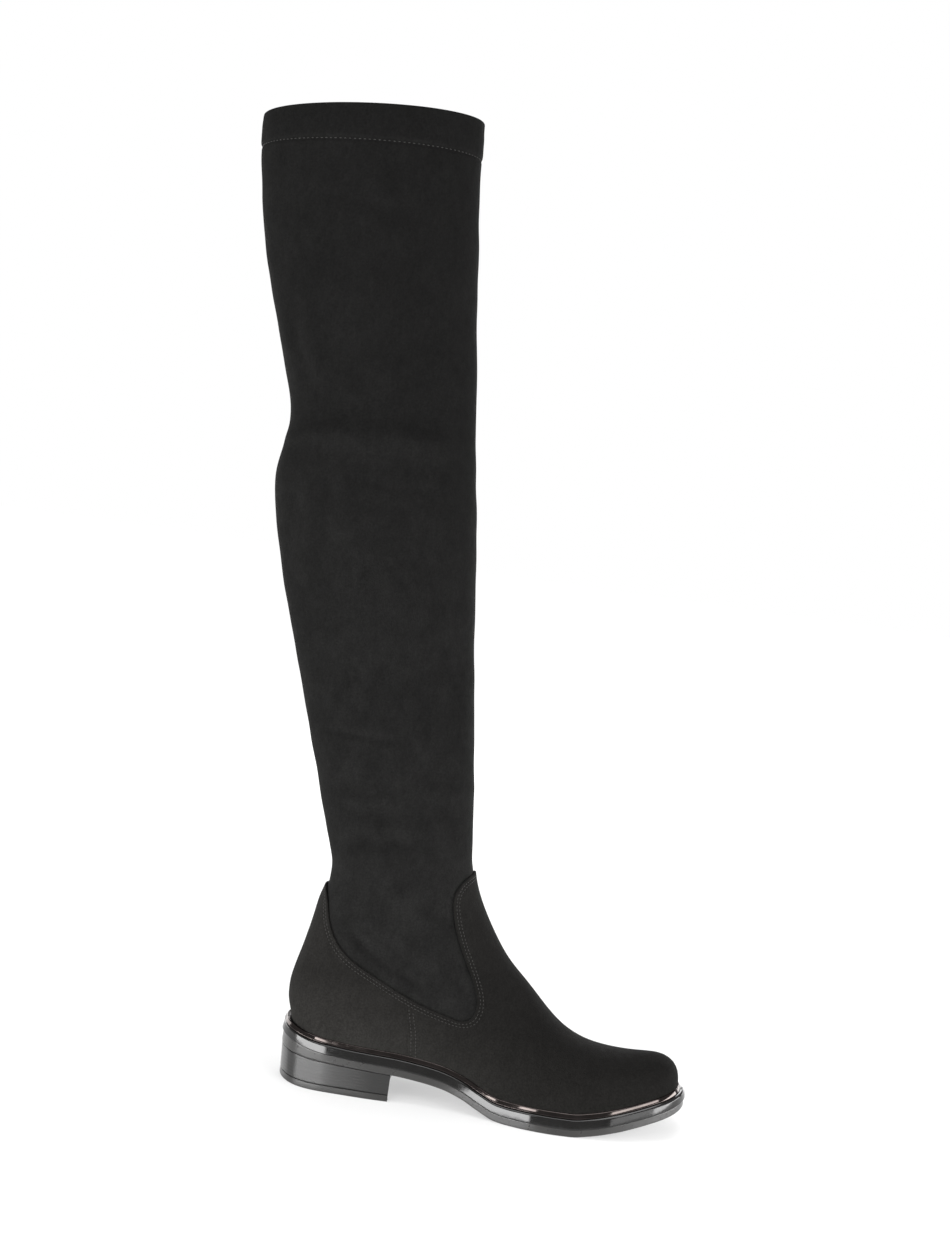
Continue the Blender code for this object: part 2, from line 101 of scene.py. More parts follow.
# One loop round the boot per row: back_x, back_z, front_x, front_z and half_width, and on the
# foot how much of the foot's outline it keeps and how much of the sole's arch it follows.
FOOT_LOOPS = (
    (4.1, 31.4, 253, 26.3, 28, 1, 1),
    (3.7, 36.5, 252.6, 33.2, 28.2, 1, 1),
    (2.4, 41.6, 249.8, 39.8, 28.5, 1, 0.98),
    (1.2, 46.4, 242.6, 43.7, 29, 0.99, 0.95),
    (0.5, 51, 231.5, 43.4, 29.8, 0.97, 0.9),
    (0.3, 56, 219.5, 42.2, 30.6, 0.94, 0.84),
    (0.5, 61.2, 206.5, 42.5, 31.4, 0.9, 0.76),
    (1.5, 67, 192.5, 45.2, 32.2, 0.84, 0.66),
    (3.1, 74, 177.2, 52.6, 33, 0.76, 0.54),
    (5, 81.5, 163.2, 64.4, 33.7, 0.66, 0.41),
    (6.8, 89.5, 149.4, 78.2, 34.3, 0.54, 0.29),
    (8.5, 97.5, 136.1, 91, 34.8, 0.42, 0.18),
    (10.1, 106.5, 124.8, 106, 35.1, 0.3, 0.09),
    (12.1, 117, 115.2, 122, 35.2, 0.18, 0.03),
    (15.4, 129.5, 107.4, 140, 35, 0.08, 0),
    (14.6, 143.5, 103.9, 157.5, 34.8, 0.02, 0),
)
LEG_LOOPS = (
    (7.5, 165.1, 101.1, 178.2, 35),
    (-1, 193.4, 97.3, 207.2, 35.6),
    (-10, 221.7, 93.6, 236.3, 36.4),
    (-19.2, 249.9, 89.9, 265.3, 37.3),
    (-28.2, 278.3, 86.3, 294.3, 38),
    (-36.9, 306.6, 82.8, 323.4, 38.6),
    (-44.9, 335, 79.2, 352.4, 39),
    (-51.3, 362, 75.6, 380, 39.2),
    (-53.6, 382, 72.9, 400, 39),
    (-50.4, 402, 70.2, 418, 38.6),
    (-49.5, 420, 67.8, 435.5, 38.6),
    (-57, 450, 63.6, 466, 39.4),
    (-66.2, 480, 59.9, 496, 40.4),
    (-75.8, 510, 56.4, 526, 41.3),
    (-83.4, 542, 52.9, 557, 41.9),
    (-88.6, 575, 49.7, 589, 42.2),
    (-90.6, 603.4, 48, 616.4, 42.3),
)
LOOPS = FOOT_LOOPS + tuple((*row, 0, 0) for row in LEG_LOOPS)

# Lower edge of the opening in the overlay, from the back of the ankle down the heel, along the
# side and up the instep: inner_x, inner_z, outer_x, outer_z, and the angle round the foot's
# outline of the point on the sole that it is joined to.
OPENING_EDGE = (
    (4, 126.5, 4, 126.5, 0),
    (13.6, 124.7, 13.6, 126.3, 0.12),
    (17.2, 119.5, 18.6, 121, 0.25),
    (19.6, 110.3, 22.6, 111, 0.36),
    (22.8, 101.5, 27.4, 101, 0.48),
    (28.2, 93.4, 34.4, 92, 0.62),
    (37.5, 85.4, 45.6, 83.2, 0.78),
    (51.5, 78.3, 60.2, 74.4, 0.95),
    (66, 71.4, 78, 66.2, 1.09),
    (79, 65.6, 92.4, 60.8, 1.186),
    (92.4, 61, 103.6, 57.8, 1.347),
    (104.4, 57.6, 112.8, 56.8, 1.45),
    (112.4, 56.7, 118.6, 58.4, 1.518),
    (117.4, 58.6, 122.8, 62.8, 1.575),
    (119.9, 63.6, 124.6, 70, 1.631),
    (119.3, 72.5, 123.6, 78.6, 1.727),
    (115.3, 82.3, 119.4, 88.8, 1.851),
    (109.6, 93, 114.8, 98.2, 1.989),
    (104.2, 103.7, 110, 108.6, 2.134),
    (99.9, 114.3, 106.2, 118.6, 2.264),
    (97, 124.9, 103.4, 128, 2.395),
    (96.6, 134, 102.6, 136.8, 2.524),
    (99.4, 140.4, 103.8, 142.2, 2.663),
    (104, 144.8, 106.4, 145.6, 2.83),
    (116, 150, 116, 150, 3.05),
)

# Main creases, by their ends on the side of the leg: from_x, from_z, to_x, to_z, depth (a ridge
# where negative), half width, and the side it is on: 1 inner, 2 outer, 0 both.
CREASES = (
    (-30, 411, 58, 412, -1.2, 8, 1),
    (-22, 426, 40, 428, 0.35, 8, 1),
    (-3, 384.5, 47, 382.5, 0.25, 2.6, 1),
    (-55, 476, -37, 440, 0.45, 4, 1),
    (-46, 490, -29, 442, -0.4, 4.5, 1),
    (-36, 486, -24, 454, 0.25, 5, 1),
    (-28, 382, -24, 310, -0.55, 6, 1),
    (-14, 380, -9, 325, 0.45, 5, 1),
    (0, 376, 3, 335, -0.45, 6, 1),
    (3, 226, 49, 228.5, 0.6, 2.2, 1),
    (14, 184, 62, 190, -0.6, 4, 1),
    (14, 156, 64, 166, 0.7, 4.6, 1),
    (30, 170, 70, 175, -0.4, 3.6, 1),
    (62, 200, 104, 197, -0.6, 6, 1),
    (33, 102, 86, 72, 1, 3.6, 1),
    (42, 113, 92, 87, -0.5, 4, 1),
    (-76, 541, -62, 570, 0.55, 5, 1),
    (-42, 554, 2, 549, 0.3, 4, 1),
    (-48, 404, -20, 411, -0.7, 4.5, 0),
    (-36, 404, 52, 413, -0.8, 7, 2),
    (-24, 424, 44, 430, 0.4, 8, 2),
    (-10, 370, 46, 374, 0.4, 2.8, 2),
    (-24, 376, -18, 316, -0.5, 6, 2),
    (12, 216, 60, 226, 0.5, 2.6, 2),
    (20, 176, 70, 187, -0.55, 4, 2),
    (34, 152, 80, 160, 0.6, 4.4, 2),
    (48, 108, 96, 82, 0.8, 3.8, 2),
    (-60, 505, -34, 452, 0.8, 6, 2),
)
CREASE_GAIN = 1.5
CREASE_WANDER = 1.6


def columns(table):
    """The columns of a table as arrays."""
    return np.array(table, dtype=float).T


def dot(a, b):
    return np.sum(a * b, axis=-1)


def unit(vectors):
    """The vectors brought to length 1."""
    return vectors / np.linalg.norm(vectors, axis=-1, keepdims=True)


def run_length(points):
    """Running length along points."""
    return np.r_[0, np.cumsum(np.linalg.norm(np.diff(points, axis=0), axis=1))]


def ease(low, high, x):
    """Smooth step from 0 at low to 1 at high."""
    s = np.clip((x - low) / (high - low), 0, 1)
    return s * s * (3 - 2 * s)


def hump(x, width):
    """Bell of height 1 at 0."""
    return np.exp(-((x / width) ** 2))


def interval(xs, x):
    """The number of the interval between xs that each x is in, and its share of the way."""
    x = np.clip(x, xs[0], xs[-1])
    i = np.clip(np.searchsorted(xs, x, side="right") - 1, 0, len(xs) - 2)
    return i, (x - xs[i]) / (xs[i + 1] - xs[i])


def steady_curve(xs, ys):
    """Cubic through the points that never passes beyond them, so a level stretch stays level."""
    step = np.diff(xs)
    slope = np.diff(ys) / step
    tangent = np.r_[slope[0], np.zeros(len(xs) - 2), slope[-1]]
    for i in range(1, len(xs) - 1):
        if slope[i - 1] * slope[i] > 0:
            near = 2 * step[i] + step[i - 1]
            far = step[i] + 2 * step[i - 1]
            tangent[i] = (near + far) / (near / slope[i - 1] + far / slope[i])

    def at(x):
        i, s = interval(xs, x)
        start = (1 + 2 * s) * (1 - s) ** 2 * ys[i] + s * (1 - s) ** 2 * step[i] * tangent[i]
        end = s * s * (3 - 2 * s) * ys[i + 1] + s * s * (s - 1) * step[i] * tangent[i + 1]
        return start + end

    return at


def fair_curve(xs, ys):
    """Natural cubic spline through the points, with no jump in its bend."""
    step = np.diff(xs)
    slope = np.diff(ys) / step
    matrix = np.eye(len(xs))
    right = np.zeros(len(xs))
    for i in range(1, len(xs) - 1):
        matrix[i, i - 1 : i + 2] = (step[i - 1], 2 * (step[i - 1] + step[i]), step[i])
        right[i] = 6 * (slope[i] - slope[i - 1])
    bend = np.linalg.solve(matrix, right)

    def at(x):
        i, b = interval(xs, x)
        a = 1 - b
        lift = ((a**3 - a) * bend[i] + (b**3 - b) * bend[i + 1]) * step[i] ** 2 / 6
        return a * ys[i] + b * ys[i + 1] + lift

    return at


sole_line = steady_curve(*columns(SOLE_LINE))
end_rise = steady_curve(*columns(END_RISE))

# ---- the foot's outline


def share_at(theta):
    """Share of the way from the back to the front at an angle round the boot."""
    return 0.5 * (1 - np.cos(theta))


def at_back(theta, reach):
    """1 at the boot's back, falling to 0 at a share of its length."""
    return 1 - ease(0, reach, share_at(theta))


def side_sign(theta):
    """-1 on the inner side, where theta is below pi, and 1 on the outer side."""
    return np.where(theta <= math.pi, -1, 1)


def on_middle(theta):
    """Whether an angle is on the boot's middle plane."""
    return np.abs(np.sin(theta)) < 1e-6


def fullness(side):
    """Half width over sqrt(share * (1 - share)), which is smooth right round both ends."""
    table = columns(FOOT_OUTLINE)
    shares = table[0]
    widths = table[side] / np.sqrt(shares * (1 - shares))
    heel, toe = [math.sqrt(2 * radius * FOOT_LENGTH) for radius in (HEEL_ROUND, TOE_ROUND)]
    return fair_curve(np.r_[0, shares, 1], np.r_[heel, widths, toe])


inner_fullness, outer_fullness = map(fullness, (1, 2))


def half_width(share, theta):
    """Half width of the foot at a share of its length, on the side of an angle."""
    full = np.where(theta <= math.pi, inner_fullness(share), outer_fullness(share))
    return full * np.sqrt(np.clip(share * (1 - share), 0, None))


def foot_outline(theta):
    """Points of the foot's outline, going round from the back by the inner side."""
    share = share_at(theta)
    y = side_sign(theta) * half_width(share, theta)
    return np.stack([FOOT_BACK + FOOT_LENGTH * share, y], axis=-1)


def offset_outline(theta, distance):
    """The foot's outline moved out by a distance, in the plane."""
    small = 1e-4
    run = unit(foot_outline(np.mod(theta + small, TURN)) - foot_outline(np.mod(theta - small, TURN)))
    out = np.stack([run[..., 1], -run[..., 0]], axis=-1)
    return foot_outline(theta) + out * np.asarray(distance)[..., None]


def sole_edge(theta):
    """How far the sole reaches beyond the upper: least at the sides, most at the toe."""
    side = SOLE_EDGE_SIDE
    toe = (SOLE_EDGE_TOE - side) * ease(0.72, 1, share_at(theta))
    return side + (SOLE_EDGE_BACK - side) * at_back(theta, 0.12) + toe


# ---- the upper's own function

loop_table = columns(LOOPS)
LEVELS = 0.5 * (run_length(loop_table[:2].T) + run_length(loop_table[2:4].T))
TOP_LEVEL = LEVELS[-1]
loop_parts = [fair_curve(LEVELS, part) for part in loop_table]
front_line = [part(np.linspace(TOP_LEVEL, 0, 6000)) for part in loop_parts[2:4]]


def front_height(x):
    """Height of the middle line over toe, vamp, instep and shin at a distance along."""
    return np.interp(x, *front_line)


def side_height(x, along, back, front, sag):
    """Height on the side of a loop between its ends, following the sole's arch by sag."""
    low, high = [z - sag * sole_line(end_x) for end_x, z in (back, front)]
    return sag * sole_line(x) + low + (high - low) * along


def form(theta, level):
    """Point on the upper's outer face."""
    back_x, back_z, front_x, front_z, girth, share, sag = [part(level) for part in loop_parts]
    along = share_at(theta)
    x = back_x + (front_x - back_x) * along
    z = side_height(x, along, (back_x, back_z), (front_x, front_z), sag)
    from_back = (x - back_x) / FOOT_LENGTH
    from_heel = (x - FOOT_BACK) / FOOT_LENGTH
    station = np.clip(from_back + (from_heel - from_back) * along, 0, 1)
    base = sole_line(x) + UPPER_BOTTOM
    rise = np.clip((z - base) / np.maximum(front_height(x) - base, 0.5), 0, 1)
    # The foot's section is fuller over the toes.
    power = 1.75 + 0.6 * ease(130, 205, x)
    arch = np.sqrt(np.clip(1 - rise**power, 0, 1))
    foot = half_width(station, theta) * arch
    leg = girth * np.abs(np.sin(theta))
    y = np.where(on_middle(theta), 0, share * foot + (1 - share) * leg)
    z = z + end_rise(x) * (1 - ease(0, RISE_FADES, level))
    return np.stack([x, side_sign(theta) * y, z], axis=-1)


# The normals turn level over the lowest levels.
NORMALS_TURN = 8


def normals(theta, level):
    """Outward normals of the form, level at its lower edge."""
    small = 2e-3
    step = 0.3
    around = form(np.mod(theta + small, TURN), level) - form(np.mod(theta - small, TURN), level)
    up = form(theta, np.clip(level + step, 0, TOP_LEVEL))
    up = up - form(theta, np.clip(level - step, 0, TOP_LEVEL))
    out = np.cross(around, up)
    out[..., 1] = np.where(on_middle(theta), 0, out[..., 1])
    out[..., 2] *= ease(0, NORMALS_TURN, level)
    return unit(out)


def form_offset(theta, level, distance):
    """The form moved out along its normals, its lower edge kept on the sole's line."""
    start = form(theta, level)
    moved = start + normals(theta, level) * np.asarray(distance)[..., None]
    old_x = start[..., 0]
    new_x = moved[..., 0]
    rise = sole_line(new_x) - sole_line(old_x) + end_rise(new_x) - end_rise(old_x)
    moved[..., 2] += rise * (1 - ease(0, NORMALS_TURN, level))
    return moved


def locate(x, z):
    """Share of the way to the front and level of the form's side at a distance and height."""
    low = np.zeros_like(x)
    high = np.full_like(x, TOP_LEVEL)
    for _ in range(45):
        mid = 0.5 * (low + high)
        back_x, back_z, front_x, front_z, *_, sag = [part(mid) for part in loop_parts]
        share = (x - back_x) / (front_x - back_x)
        along = np.clip(share, 0, 1)
        above = side_height(x, along, (back_x, back_z), (front_x, front_z), sag) > z
        high = np.where(above, mid, high)
        low = np.where(above, low, mid)
    return share, 0.5 * (low + high)


# ---- meshes

# Point attribute of painted fold shade: how much lighter or darker the suede is painted over each fold.
FOLD_SHADE_ATTRIBUTE = "painted_fold_shade"


def add_object(name, data):
    """A new object in the scene."""
    made = bpy.data.objects.new(name, data)
    bpy.context.scene.collection.objects.link(made)
    return made


def make_piece(name, slot, node, shape, *materials, slots=None, sharp=None, fold_shade=None):
    """Smooth-shaded piece of the boot from points and faces.

    It rides with the boot and stands for a node of the CAD, which it hides. The slot is not used.
    """
    points, faces = shape
    placed = (points - (ORIGIN_X, 0, 0)) * MM
    mesh = bpy.data.meshes.new(name)
    mesh.from_pydata(placed.tolist(), [], faces)
    mesh.validate()
    for material in materials:
        mesh.materials.append(material)
    if slots is not None:
        mesh.polygons.foreach_set("material_index", slots)
    # Painted fold shade, when given, is kept on the points.
    if fold_shade is not None:
        mesh.attributes.new(FOLD_SHADE_ATTRIBUTE, "FLOAT", "POINT").data.foreach_set("value", fold_shade)
    mesh.shade_smooth()
    if sharp:
        mesh.set_sharp_from_angle(angle=math.radians(sharp))
    piece = add_object(name, mesh)
    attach(piece, "root")
    if node:
        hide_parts(node)


def cap_strips(start, count):
    """Cap across a loop that runs from the back by the inner side, as strips between sides."""
    faces = []
    for i in range(count // 2):
        corners = [start + k % count for k in (i, i + 1, count - i - 1, count - i)]
        faces.append(list(dict.fromkeys(corners)))
    return faces


def flat_cap(start, count):
    """Cap across a loop as one face."""
    return [list(range(start, start + count))]


def solid(loops, cap=cap_strips):
    """Points and faces of a solid through loops from the bottom up, capped at both ends.

    Without a cap the last loop is joined to the first.
    """
    count = len(loops[0])
    starts = [j * count for j in range(len(loops))]
    i = np.arange(count)
    k = (i + 1) % count
    faces = []
    for low, high in zip(starts, starts[1:] + ([] if cap else [0])):
        faces += np.stack([low + i, low + k, high + k, high + i], axis=1).tolist()
    if cap:
        faces += [face[::-1] for face in cap(0, count)] + cap(starts[-1], count)
    return np.concatenate(loops), faces


# ---- materials


class Nodes:
    """A material's node tree with short calls to add to it."""

    def __init__(self, name):
        self.material = bpy.data.materials.new(name)
        self.material.use_nodes = True
        self.tree = self.material.node_tree
        self.shader = self.tree.nodes["Principled BSDF"]
        self.place = self.node("TexCoord", "Object", {})

    def node(self, kind, output, sockets, **settings):
        """An output of a new node, whose sockets are linked to others or set to numbers."""
        made = self.tree.nodes.new("ShaderNode" + kind)
        for key, value in settings.items():
            setattr(made, key, value)
        for key, value in sockets.items():
            if isinstance(value, bpy.types.NodeSocket):
                self.tree.links.new(value, made.inputs[key])
            else:
                made.inputs[key].default_value = value
        return made.outputs[output]

    def feed(self, name, source):
        """Link a socket of the shader."""
        self.tree.links.new(source, self.shader.inputs[name])

    def fixed(self, **values):
        """Sockets of the shader that are the same all over."""
        for key, value in values.items():
            socket = self.shader.inputs[key.replace("_", " ")]
            socket.default_value = (*value, 1.0) if isinstance(value, tuple) else value

    def noise(self, scale, detail=2, roughness=0.5, scaled=None):
        """Noise over the object's own coordinates, which may be scaled unevenly."""
        vector = self.place
        if scaled:
            vector = self.node("Mapping", "Vector", {"Vector": vector, "Scale": scaled})
        sockets = {"Vector": vector, "Scale": scale, "Detail": detail, "Roughness": roughness}
        return self.node("TexNoise", "Fac", sockets)

    def remap(self, value, *limits):
        """A value brought from the first two limits to the other two."""
        names = ("Value", "From Min", "From Max", "To Min", "To Max")
        return self.node("MapRange", "Result", dict(zip(names, (value, *limits))))

    def uneven(self, low, high, scale, detail=2, roughness=0.5, scaled=None, spread=0.2):
        """Noise brought from its middle range, 0.5 give or take a spread, to low and high."""
        noise = self.noise(scale, detail, roughness, scaled)
        return self.remap(noise, 0.5 - spread, 0.5 + spread, low, high)

    def math(self, operation, *values):
        return self.node("Math", "Value", dict(enumerate(values)), operation=operation)

    def times(self, first, *others):
        """Product of values."""
        for other in others:
            first = self.math("MULTIPLY", first, other)
        return first

    def tint(self, colour, strength):
        """The colour times a varying strength, as the base colour."""
        sockets = {0: colour, "Scale": strength}
        self.feed("Base Color", self.node("VectorMath", "Vector", sockets, operation="SCALE"))

    def brushed(self, amount):
        """Polished level along the edge, so that a reflection spreads up and down."""
        around = self.node("Tangent", "Tangent", {}, direction_type="RADIAL", axis="Z")
        self.feed("Tangent", around)
        self.fixed(Anisotropic=amount, Anisotropic_Rotation=0.25)

    def bump(self, height, strength, distance):
        sockets = {"Height": height, "Strength": strength, "Distance": distance}
        self.feed("Normal", self.node("Bump", "Normal", sockets))


CLOUD_SPREAD = 0.18
# Slope at which the painted fold shade is at its lightest or darkest.
FOLD_SHADE_LIMIT = 0.35


def suede(name, colour, sheen, toe_shade=1, sole_light=1, low_light=1, fold_shading=0, mottle=0.06):
    """Napped microfibre: soft clouds where the nap lies differently, over a fine grain.

    toe_shade is painted shade towards the toe, and sole_light and low_light are painted bounce light by
    the sole and low on the leg. fold_shading is how much the painted shade and light change over folds,
    and mottle how patchy it is low on the leg.
    """
    n = Nodes(name)
    along, up = [n.node("SeparateXYZ", axis, {0: n.place}) for axis in "XZ"]
    patches = n.uneven(-mottle, mottle, 80, 4, 0.6, (1, 1, 0.8), CLOUD_SPREAD)
    sole = n.remap(along, 0.010, 0.095, 0.033, 0.013)
    shades = [
        # Clouds, patches, streaks and grain.
        n.uneven(0.90, 1.10, 17, 3, 0.6, spread=CLOUD_SPREAD),
        n.math("ADD", n.times(patches, n.remap(up, 0.15, 0.55, 1, 0.45)), 1),
        n.uneven(0.92, 1.08, 330, 3, 0.6, (1, 1, 0.45), CLOUD_SPREAD),
        n.uneven(0.68, 1.32, 900, 3, 0.7),
        # Painted bounce light: lighter down the leg and by the sole. Painted shade: darker towards the
        # toe.
        n.remap(up, 0, 0.55, 1.14, 0.86),
        n.remap(up, 0.28, 0.42, 1.06, 0.92),
        n.remap(up, 0.07, 0.24, low_light, 1),
        n.remap(n.math("SUBTRACT", up, sole), 0, 0.040, sole_light, 1),
        n.remap(along, 0, 0.14, 1, toe_shade),
    ]
    # Painted light and shade over the folds, from the fold shade kept on the points.
    if fold_shading:
        fold_shade = n.node("Attribute", "Fac", {}, attribute_name=FOLD_SHADE_ATTRIBUTE)
        change = 0.35 * fold_shading
        shades.append(n.remap(fold_shade, -FOLD_SHADE_LIMIT, FOLD_SHADE_LIMIT, 1 - change, 1 + change))
    n.tint(colour, n.times(*shades))
    n.feed("Roughness", n.uneven(0.88, 1, 200))
    n.bump(n.noise(1100, 3, 0.7, (1, 1, 0.55)), 0.55, 0.00035)
    n.fixed(Sheen_Weight=sheen, Sheen_Roughness=0.5, Sheen_Tint=(0.92, 0.90, 0.88))
    n.fixed(Specular_IOR_Level=0.04)
    return n.material


def satin_rubber(name, colour, rough, bump):
    """Moulded sole rubber with a fine grain and a satin edge."""
    n = Nodes(name)
    n.tint(colour, n.uneven(0.85, 1.15, 60, 3))
    n.feed("Roughness", n.uneven(rough - 0.05, rough + 0.06, 320, 3))
    n.bump(n.noise(2200), bump, 0.0001)
    n.brushed(0.85)
    n.fixed(Specular_IOR_Level=0.62)
    return n.material


def stacked(name):
    """Heel stack with a brushed satin finish: fine level streaks."""
    n = Nodes(name)
    streaks = n.noise(40, 3, 0.6, (0.5, 0.5, 16))
    n.tint((0.0050, 0.0048, 0.0046), n.remap(streaks, 0.3, 0.7, 0.7, 1.35))
    both = n.math("ADD", n.times(streaks, 0.7), n.times(n.noise(70, 3), 0.3))
    n.feed("Roughness", n.remap(both, 0.3, 0.7, 0.36, 0.44))
    n.bump(streaks, 0.05, 0.0002)
    n.brushed(1)
    n.fixed(Specular_IOR_Level=1)
    return n.material


def gloss(name):
    """Patent-like band: deep black with a slight orange peel."""
    n = Nodes(name)
    n.tint((0.0060, 0.0058, 0.0056), n.uneven(0.8, 1.2, 90, 3))
    n.feed("Roughness", n.uneven(0.07, 0.12, 260, 3))
    n.bump(n.noise(240, 1), 0.10, 0.0002)
    n.fixed(Specular_IOR_Level=0.42)
    return n.material


def bead_metal(name):
    """Gunmetal with a warm cast, slightly uneven where the plating is polished."""
    n = Nodes(name)
    n.tint((0.062, 0.053, 0.050), n.uneven(0.8, 1.2, 130, 3))
    n.feed("Roughness", n.uneven(0.05, 0.11, 400))
    n.bump(n.noise(120, 1), 0.03, 0.0001)
    n.fixed(Metallic=1)
    return n.material


def thread(name):
    """Slightly lustrous twisted thread."""
    n = Nodes(name)
    n.tint((0.022, 0.021, 0.020), n.uneven(0.7, 1.3, 900))
    n.feed("Roughness", n.uneven(0.45, 0.65, 2500, 1))
    n.fixed(Sheen_Weight=0.02, Specular_IOR_Level=0.15)
    return n.material


def knit(name, colour):
    """Lining or sock fabric: a fine knit in the weave's own size."""
    n = Nodes(name)
    waves = []
    for direction, scale, distortion, detail in (("Z", 260, 1.5, 3), ("DIAGONAL", 300, 1, 1)):
        sockets = {"Vector": n.place, "Scale": scale, "Distortion": distortion, "Detail Scale": detail}
        waves.append(n.node("TexWave", "Fac", sockets, wave_type="BANDS", bands_direction=direction))
    weave = n.times(*waves)
    n.tint(colour, n.times(n.remap(weave, 0, 1, 0.75, 1.25), n.uneven(0.9, 1.1, 40, 3)))
    n.feed("Roughness", n.uneven(0.8, 0.95, 300))
    n.bump(weave, 0.4, 0.0003)
    n.fixed(Sheen_Weight=0.15, Specular_IOR_Level=0.2)
    return n.material


# The leg is painted lighter low down by bounce light; the overlay is painted lighter by the sole and
# darker towards the toe.
leg_looks = {"low_light": 1.28, "fold_shading": 0.55, "mottle": 0.17}
shaft_suede = suede("stretch_suede", (0.0059, 0.0059, 0.0057), 0.003, **leg_looks)
overlay_suede = suede("overlay_suede", (0.0089, 0.0086, 0.0080), 0.005, 0.45, 1.62)
lining = knit("lining_knit", (0.022, 0.021, 0.021))
insole_knit = knit("insole_fabric", (0.050, 0.045, 0.042))
thread_grey = thread("thread_grey")
bead_plating = bead_metal("bead_metal")
gloss_black = gloss("gloss_band")
sole_rubber = satin_rubber("outsole_rubber", (0.0190, 0.0185, 0.0178), 0.31, 0.05)
lift_rubber = satin_rubber("lift_rubber", (0.0150, 0.0146, 0.0140), 0.40, 0.08)
heel_stack = stacked("stacked_heel")

# ---- the opening's edge

EDGE_STEP = 1.1

# Length over which the edges of the two sides come to one level, at the back and at the front.
EDGE_MEETS = 14

# Where the quarter seam meets the edge, and the steps beside it.
SEAM_TOP = (78.6, 65.8)
SEAM_STEPS = (-1.4, -0.8, -0.4, -0.15, 0.1, 0.35, 0.8, 1.3, 1.7, 2, 2.3, 2.7, 3.3, 3.9, 4.3, 4.6, 4.9, 5.3)
SEAM_CLEAR = 0.5


def round_angle(side, theta):
    """The angle round the boot, where theta counts from the back on side 0, inner, or 1, outer."""
    return theta if side == 0 else np.mod(TURN - theta, TURN)


def side_point(side, theta, level):
    """Point of the form where theta counts from the back on either side."""
    return form(round_angle(side, theta), level)


def edge_curve(side):
    """The opening's edge on one side, evenly spaced from the back to the front.

    Gives its angle and level, and the angle of the point on the sole that it is joined to.
    """
    table = columns(OPENING_EDGE)
    points = table[2 * side : 2 * side + 2].T
    length = run_length(points)
    fine = np.linspace(0, length[-1], 1500)
    along, level = locate(*[fair_curve(length, part)(fine) for part in points.T])
    joined = steady_curve(length, table[4])(fine)
    on_form = (along > 0.002) & (along < 0.998)
    theta = np.arccos(1 - 2 * along[on_form])
    return theta, level[on_form], joined[on_form]


edge_parts = [edge_curve(side) for side in (0, 1)]
back_level, front_level = np.mean([level[[0, -1]] for _, level, _ in edge_parts], axis=0)


def even_edge(side):
    """One side's edge in small steps from the back middle line to the front one.

    Gives theta, level, the sole's angle and each point's distance from the quarter seam.
    """
    theta, level, joined = edge_parts[side]
    length = run_length(side_point(side, theta, level))
    level = level + (back_level - level[0]) * (1 - ease(0, EDGE_MEETS, length))
    level = level + (front_level - level[-1]) * ease(length[-1] - EDGE_MEETS, length[-1], length)
    joined = joined - joined[0] * (1 - ease(0, 0.6, joined))
    joined = joined + (math.pi - joined[-1]) * ease(2.2, joined[-1], joined)
    theta = np.r_[0, theta, math.pi]
    level = np.r_[back_level, level, front_level]
    joined = np.r_[0, joined, math.pi]
    points = side_point(side, theta, level)
    length = run_length(points)
    seam = length[np.argmin(np.hypot(points[:, 0] - SEAM_TOP[0], points[:, 2] - SEAM_TOP[1]))]
    steps = np.linspace(0, length[-1], int(round(length[-1] / EDGE_STEP)) + 1)
    if side == 0:
        low = seam + SEAM_STEPS[0] - SEAM_CLEAR
        high = seam + SEAM_STEPS[-1] + SEAM_CLEAR
        steps = np.sort(np.r_[steps[(steps < low) | (steps > high)], seam + np.array(SEAM_STEPS)])
    return [np.interp(steps, length, part) for part in (theta, level, joined)] + [steps - seam]


def shifted(side, theta, level, distance):
    """The edge moved over the form by a distance, away from the opening."""
    sign = -1 if side == 0 else 1
    tangent = np.gradient(side_point(side, theta, level), axis=0)
    tangent[0] = (0, sign, 0)
    tangent[-1] = -tangent[0]
    away = np.cross(unit(tangent), normals(round_angle(side, theta), level)) * -sign
    small = 1e-3
    inside = np.clip(theta, small, math.pi - small)
    by_theta = side_point(side, inside + small, level) - side_point(side, inside - small, level)
    by_theta /= 2 * small
    by_level = (side_point(side, theta, level + 0.2) - side_point(side, theta, level - 0.2)) / 0.4
    ways = np.linalg.pinv(np.stack([by_theta, by_level], axis=-1))
    moved = np.stack([theta, level], axis=-1) + (ways @ away[..., None])[..., 0] * distance
    moved[0, 0] = 0
    moved[-1, 0] = math.pi
    return np.clip(moved[:, 0], 0, math.pi), moved[:, 1]


# Skin of the overlay near its edge: distance from the edge, height over the form. It dips under
# the two rows of stitches.
EDGE_SKIN = (
    (0, 1.2), (0.07, 1.48), (0.22, 1.68), (0.5, 1.79), (0.95, 1.82), (1.4, 1.78), (1.65, 1.7),
    (1.9, 1.63), (2.15, 1.7), (2.45, 1.79), (2.9, 1.83), (3.35, 1.79), (3.65, 1.7), (3.9, 1.63),
    (4.15, 1.7), (4.5, 1.78), (5.2, 1.8), (6, 1.8),
)
STITCH_ROWS = (1.9, 3.9)
BAND_ROWS = 76
SEAM_RISE = 0.5
SEAM_STITCH_ROWS = (2, 4.6)
SEAM_DIP = 0.13


def seam_step(side, from_seam):
    """Extra height of the vamp where it laps over the quarter on the inner side."""
    if side == 1:
        return np.zeros_like(from_seam)
    rise = SEAM_RISE * ease(-0.3, 0.3, from_seam) * (1 - ease(7, 22, from_seam))
    for row in SEAM_STITCH_ROWS:
        rise = rise - SEAM_DIP * hump(from_seam - row, 0.45)
    return rise


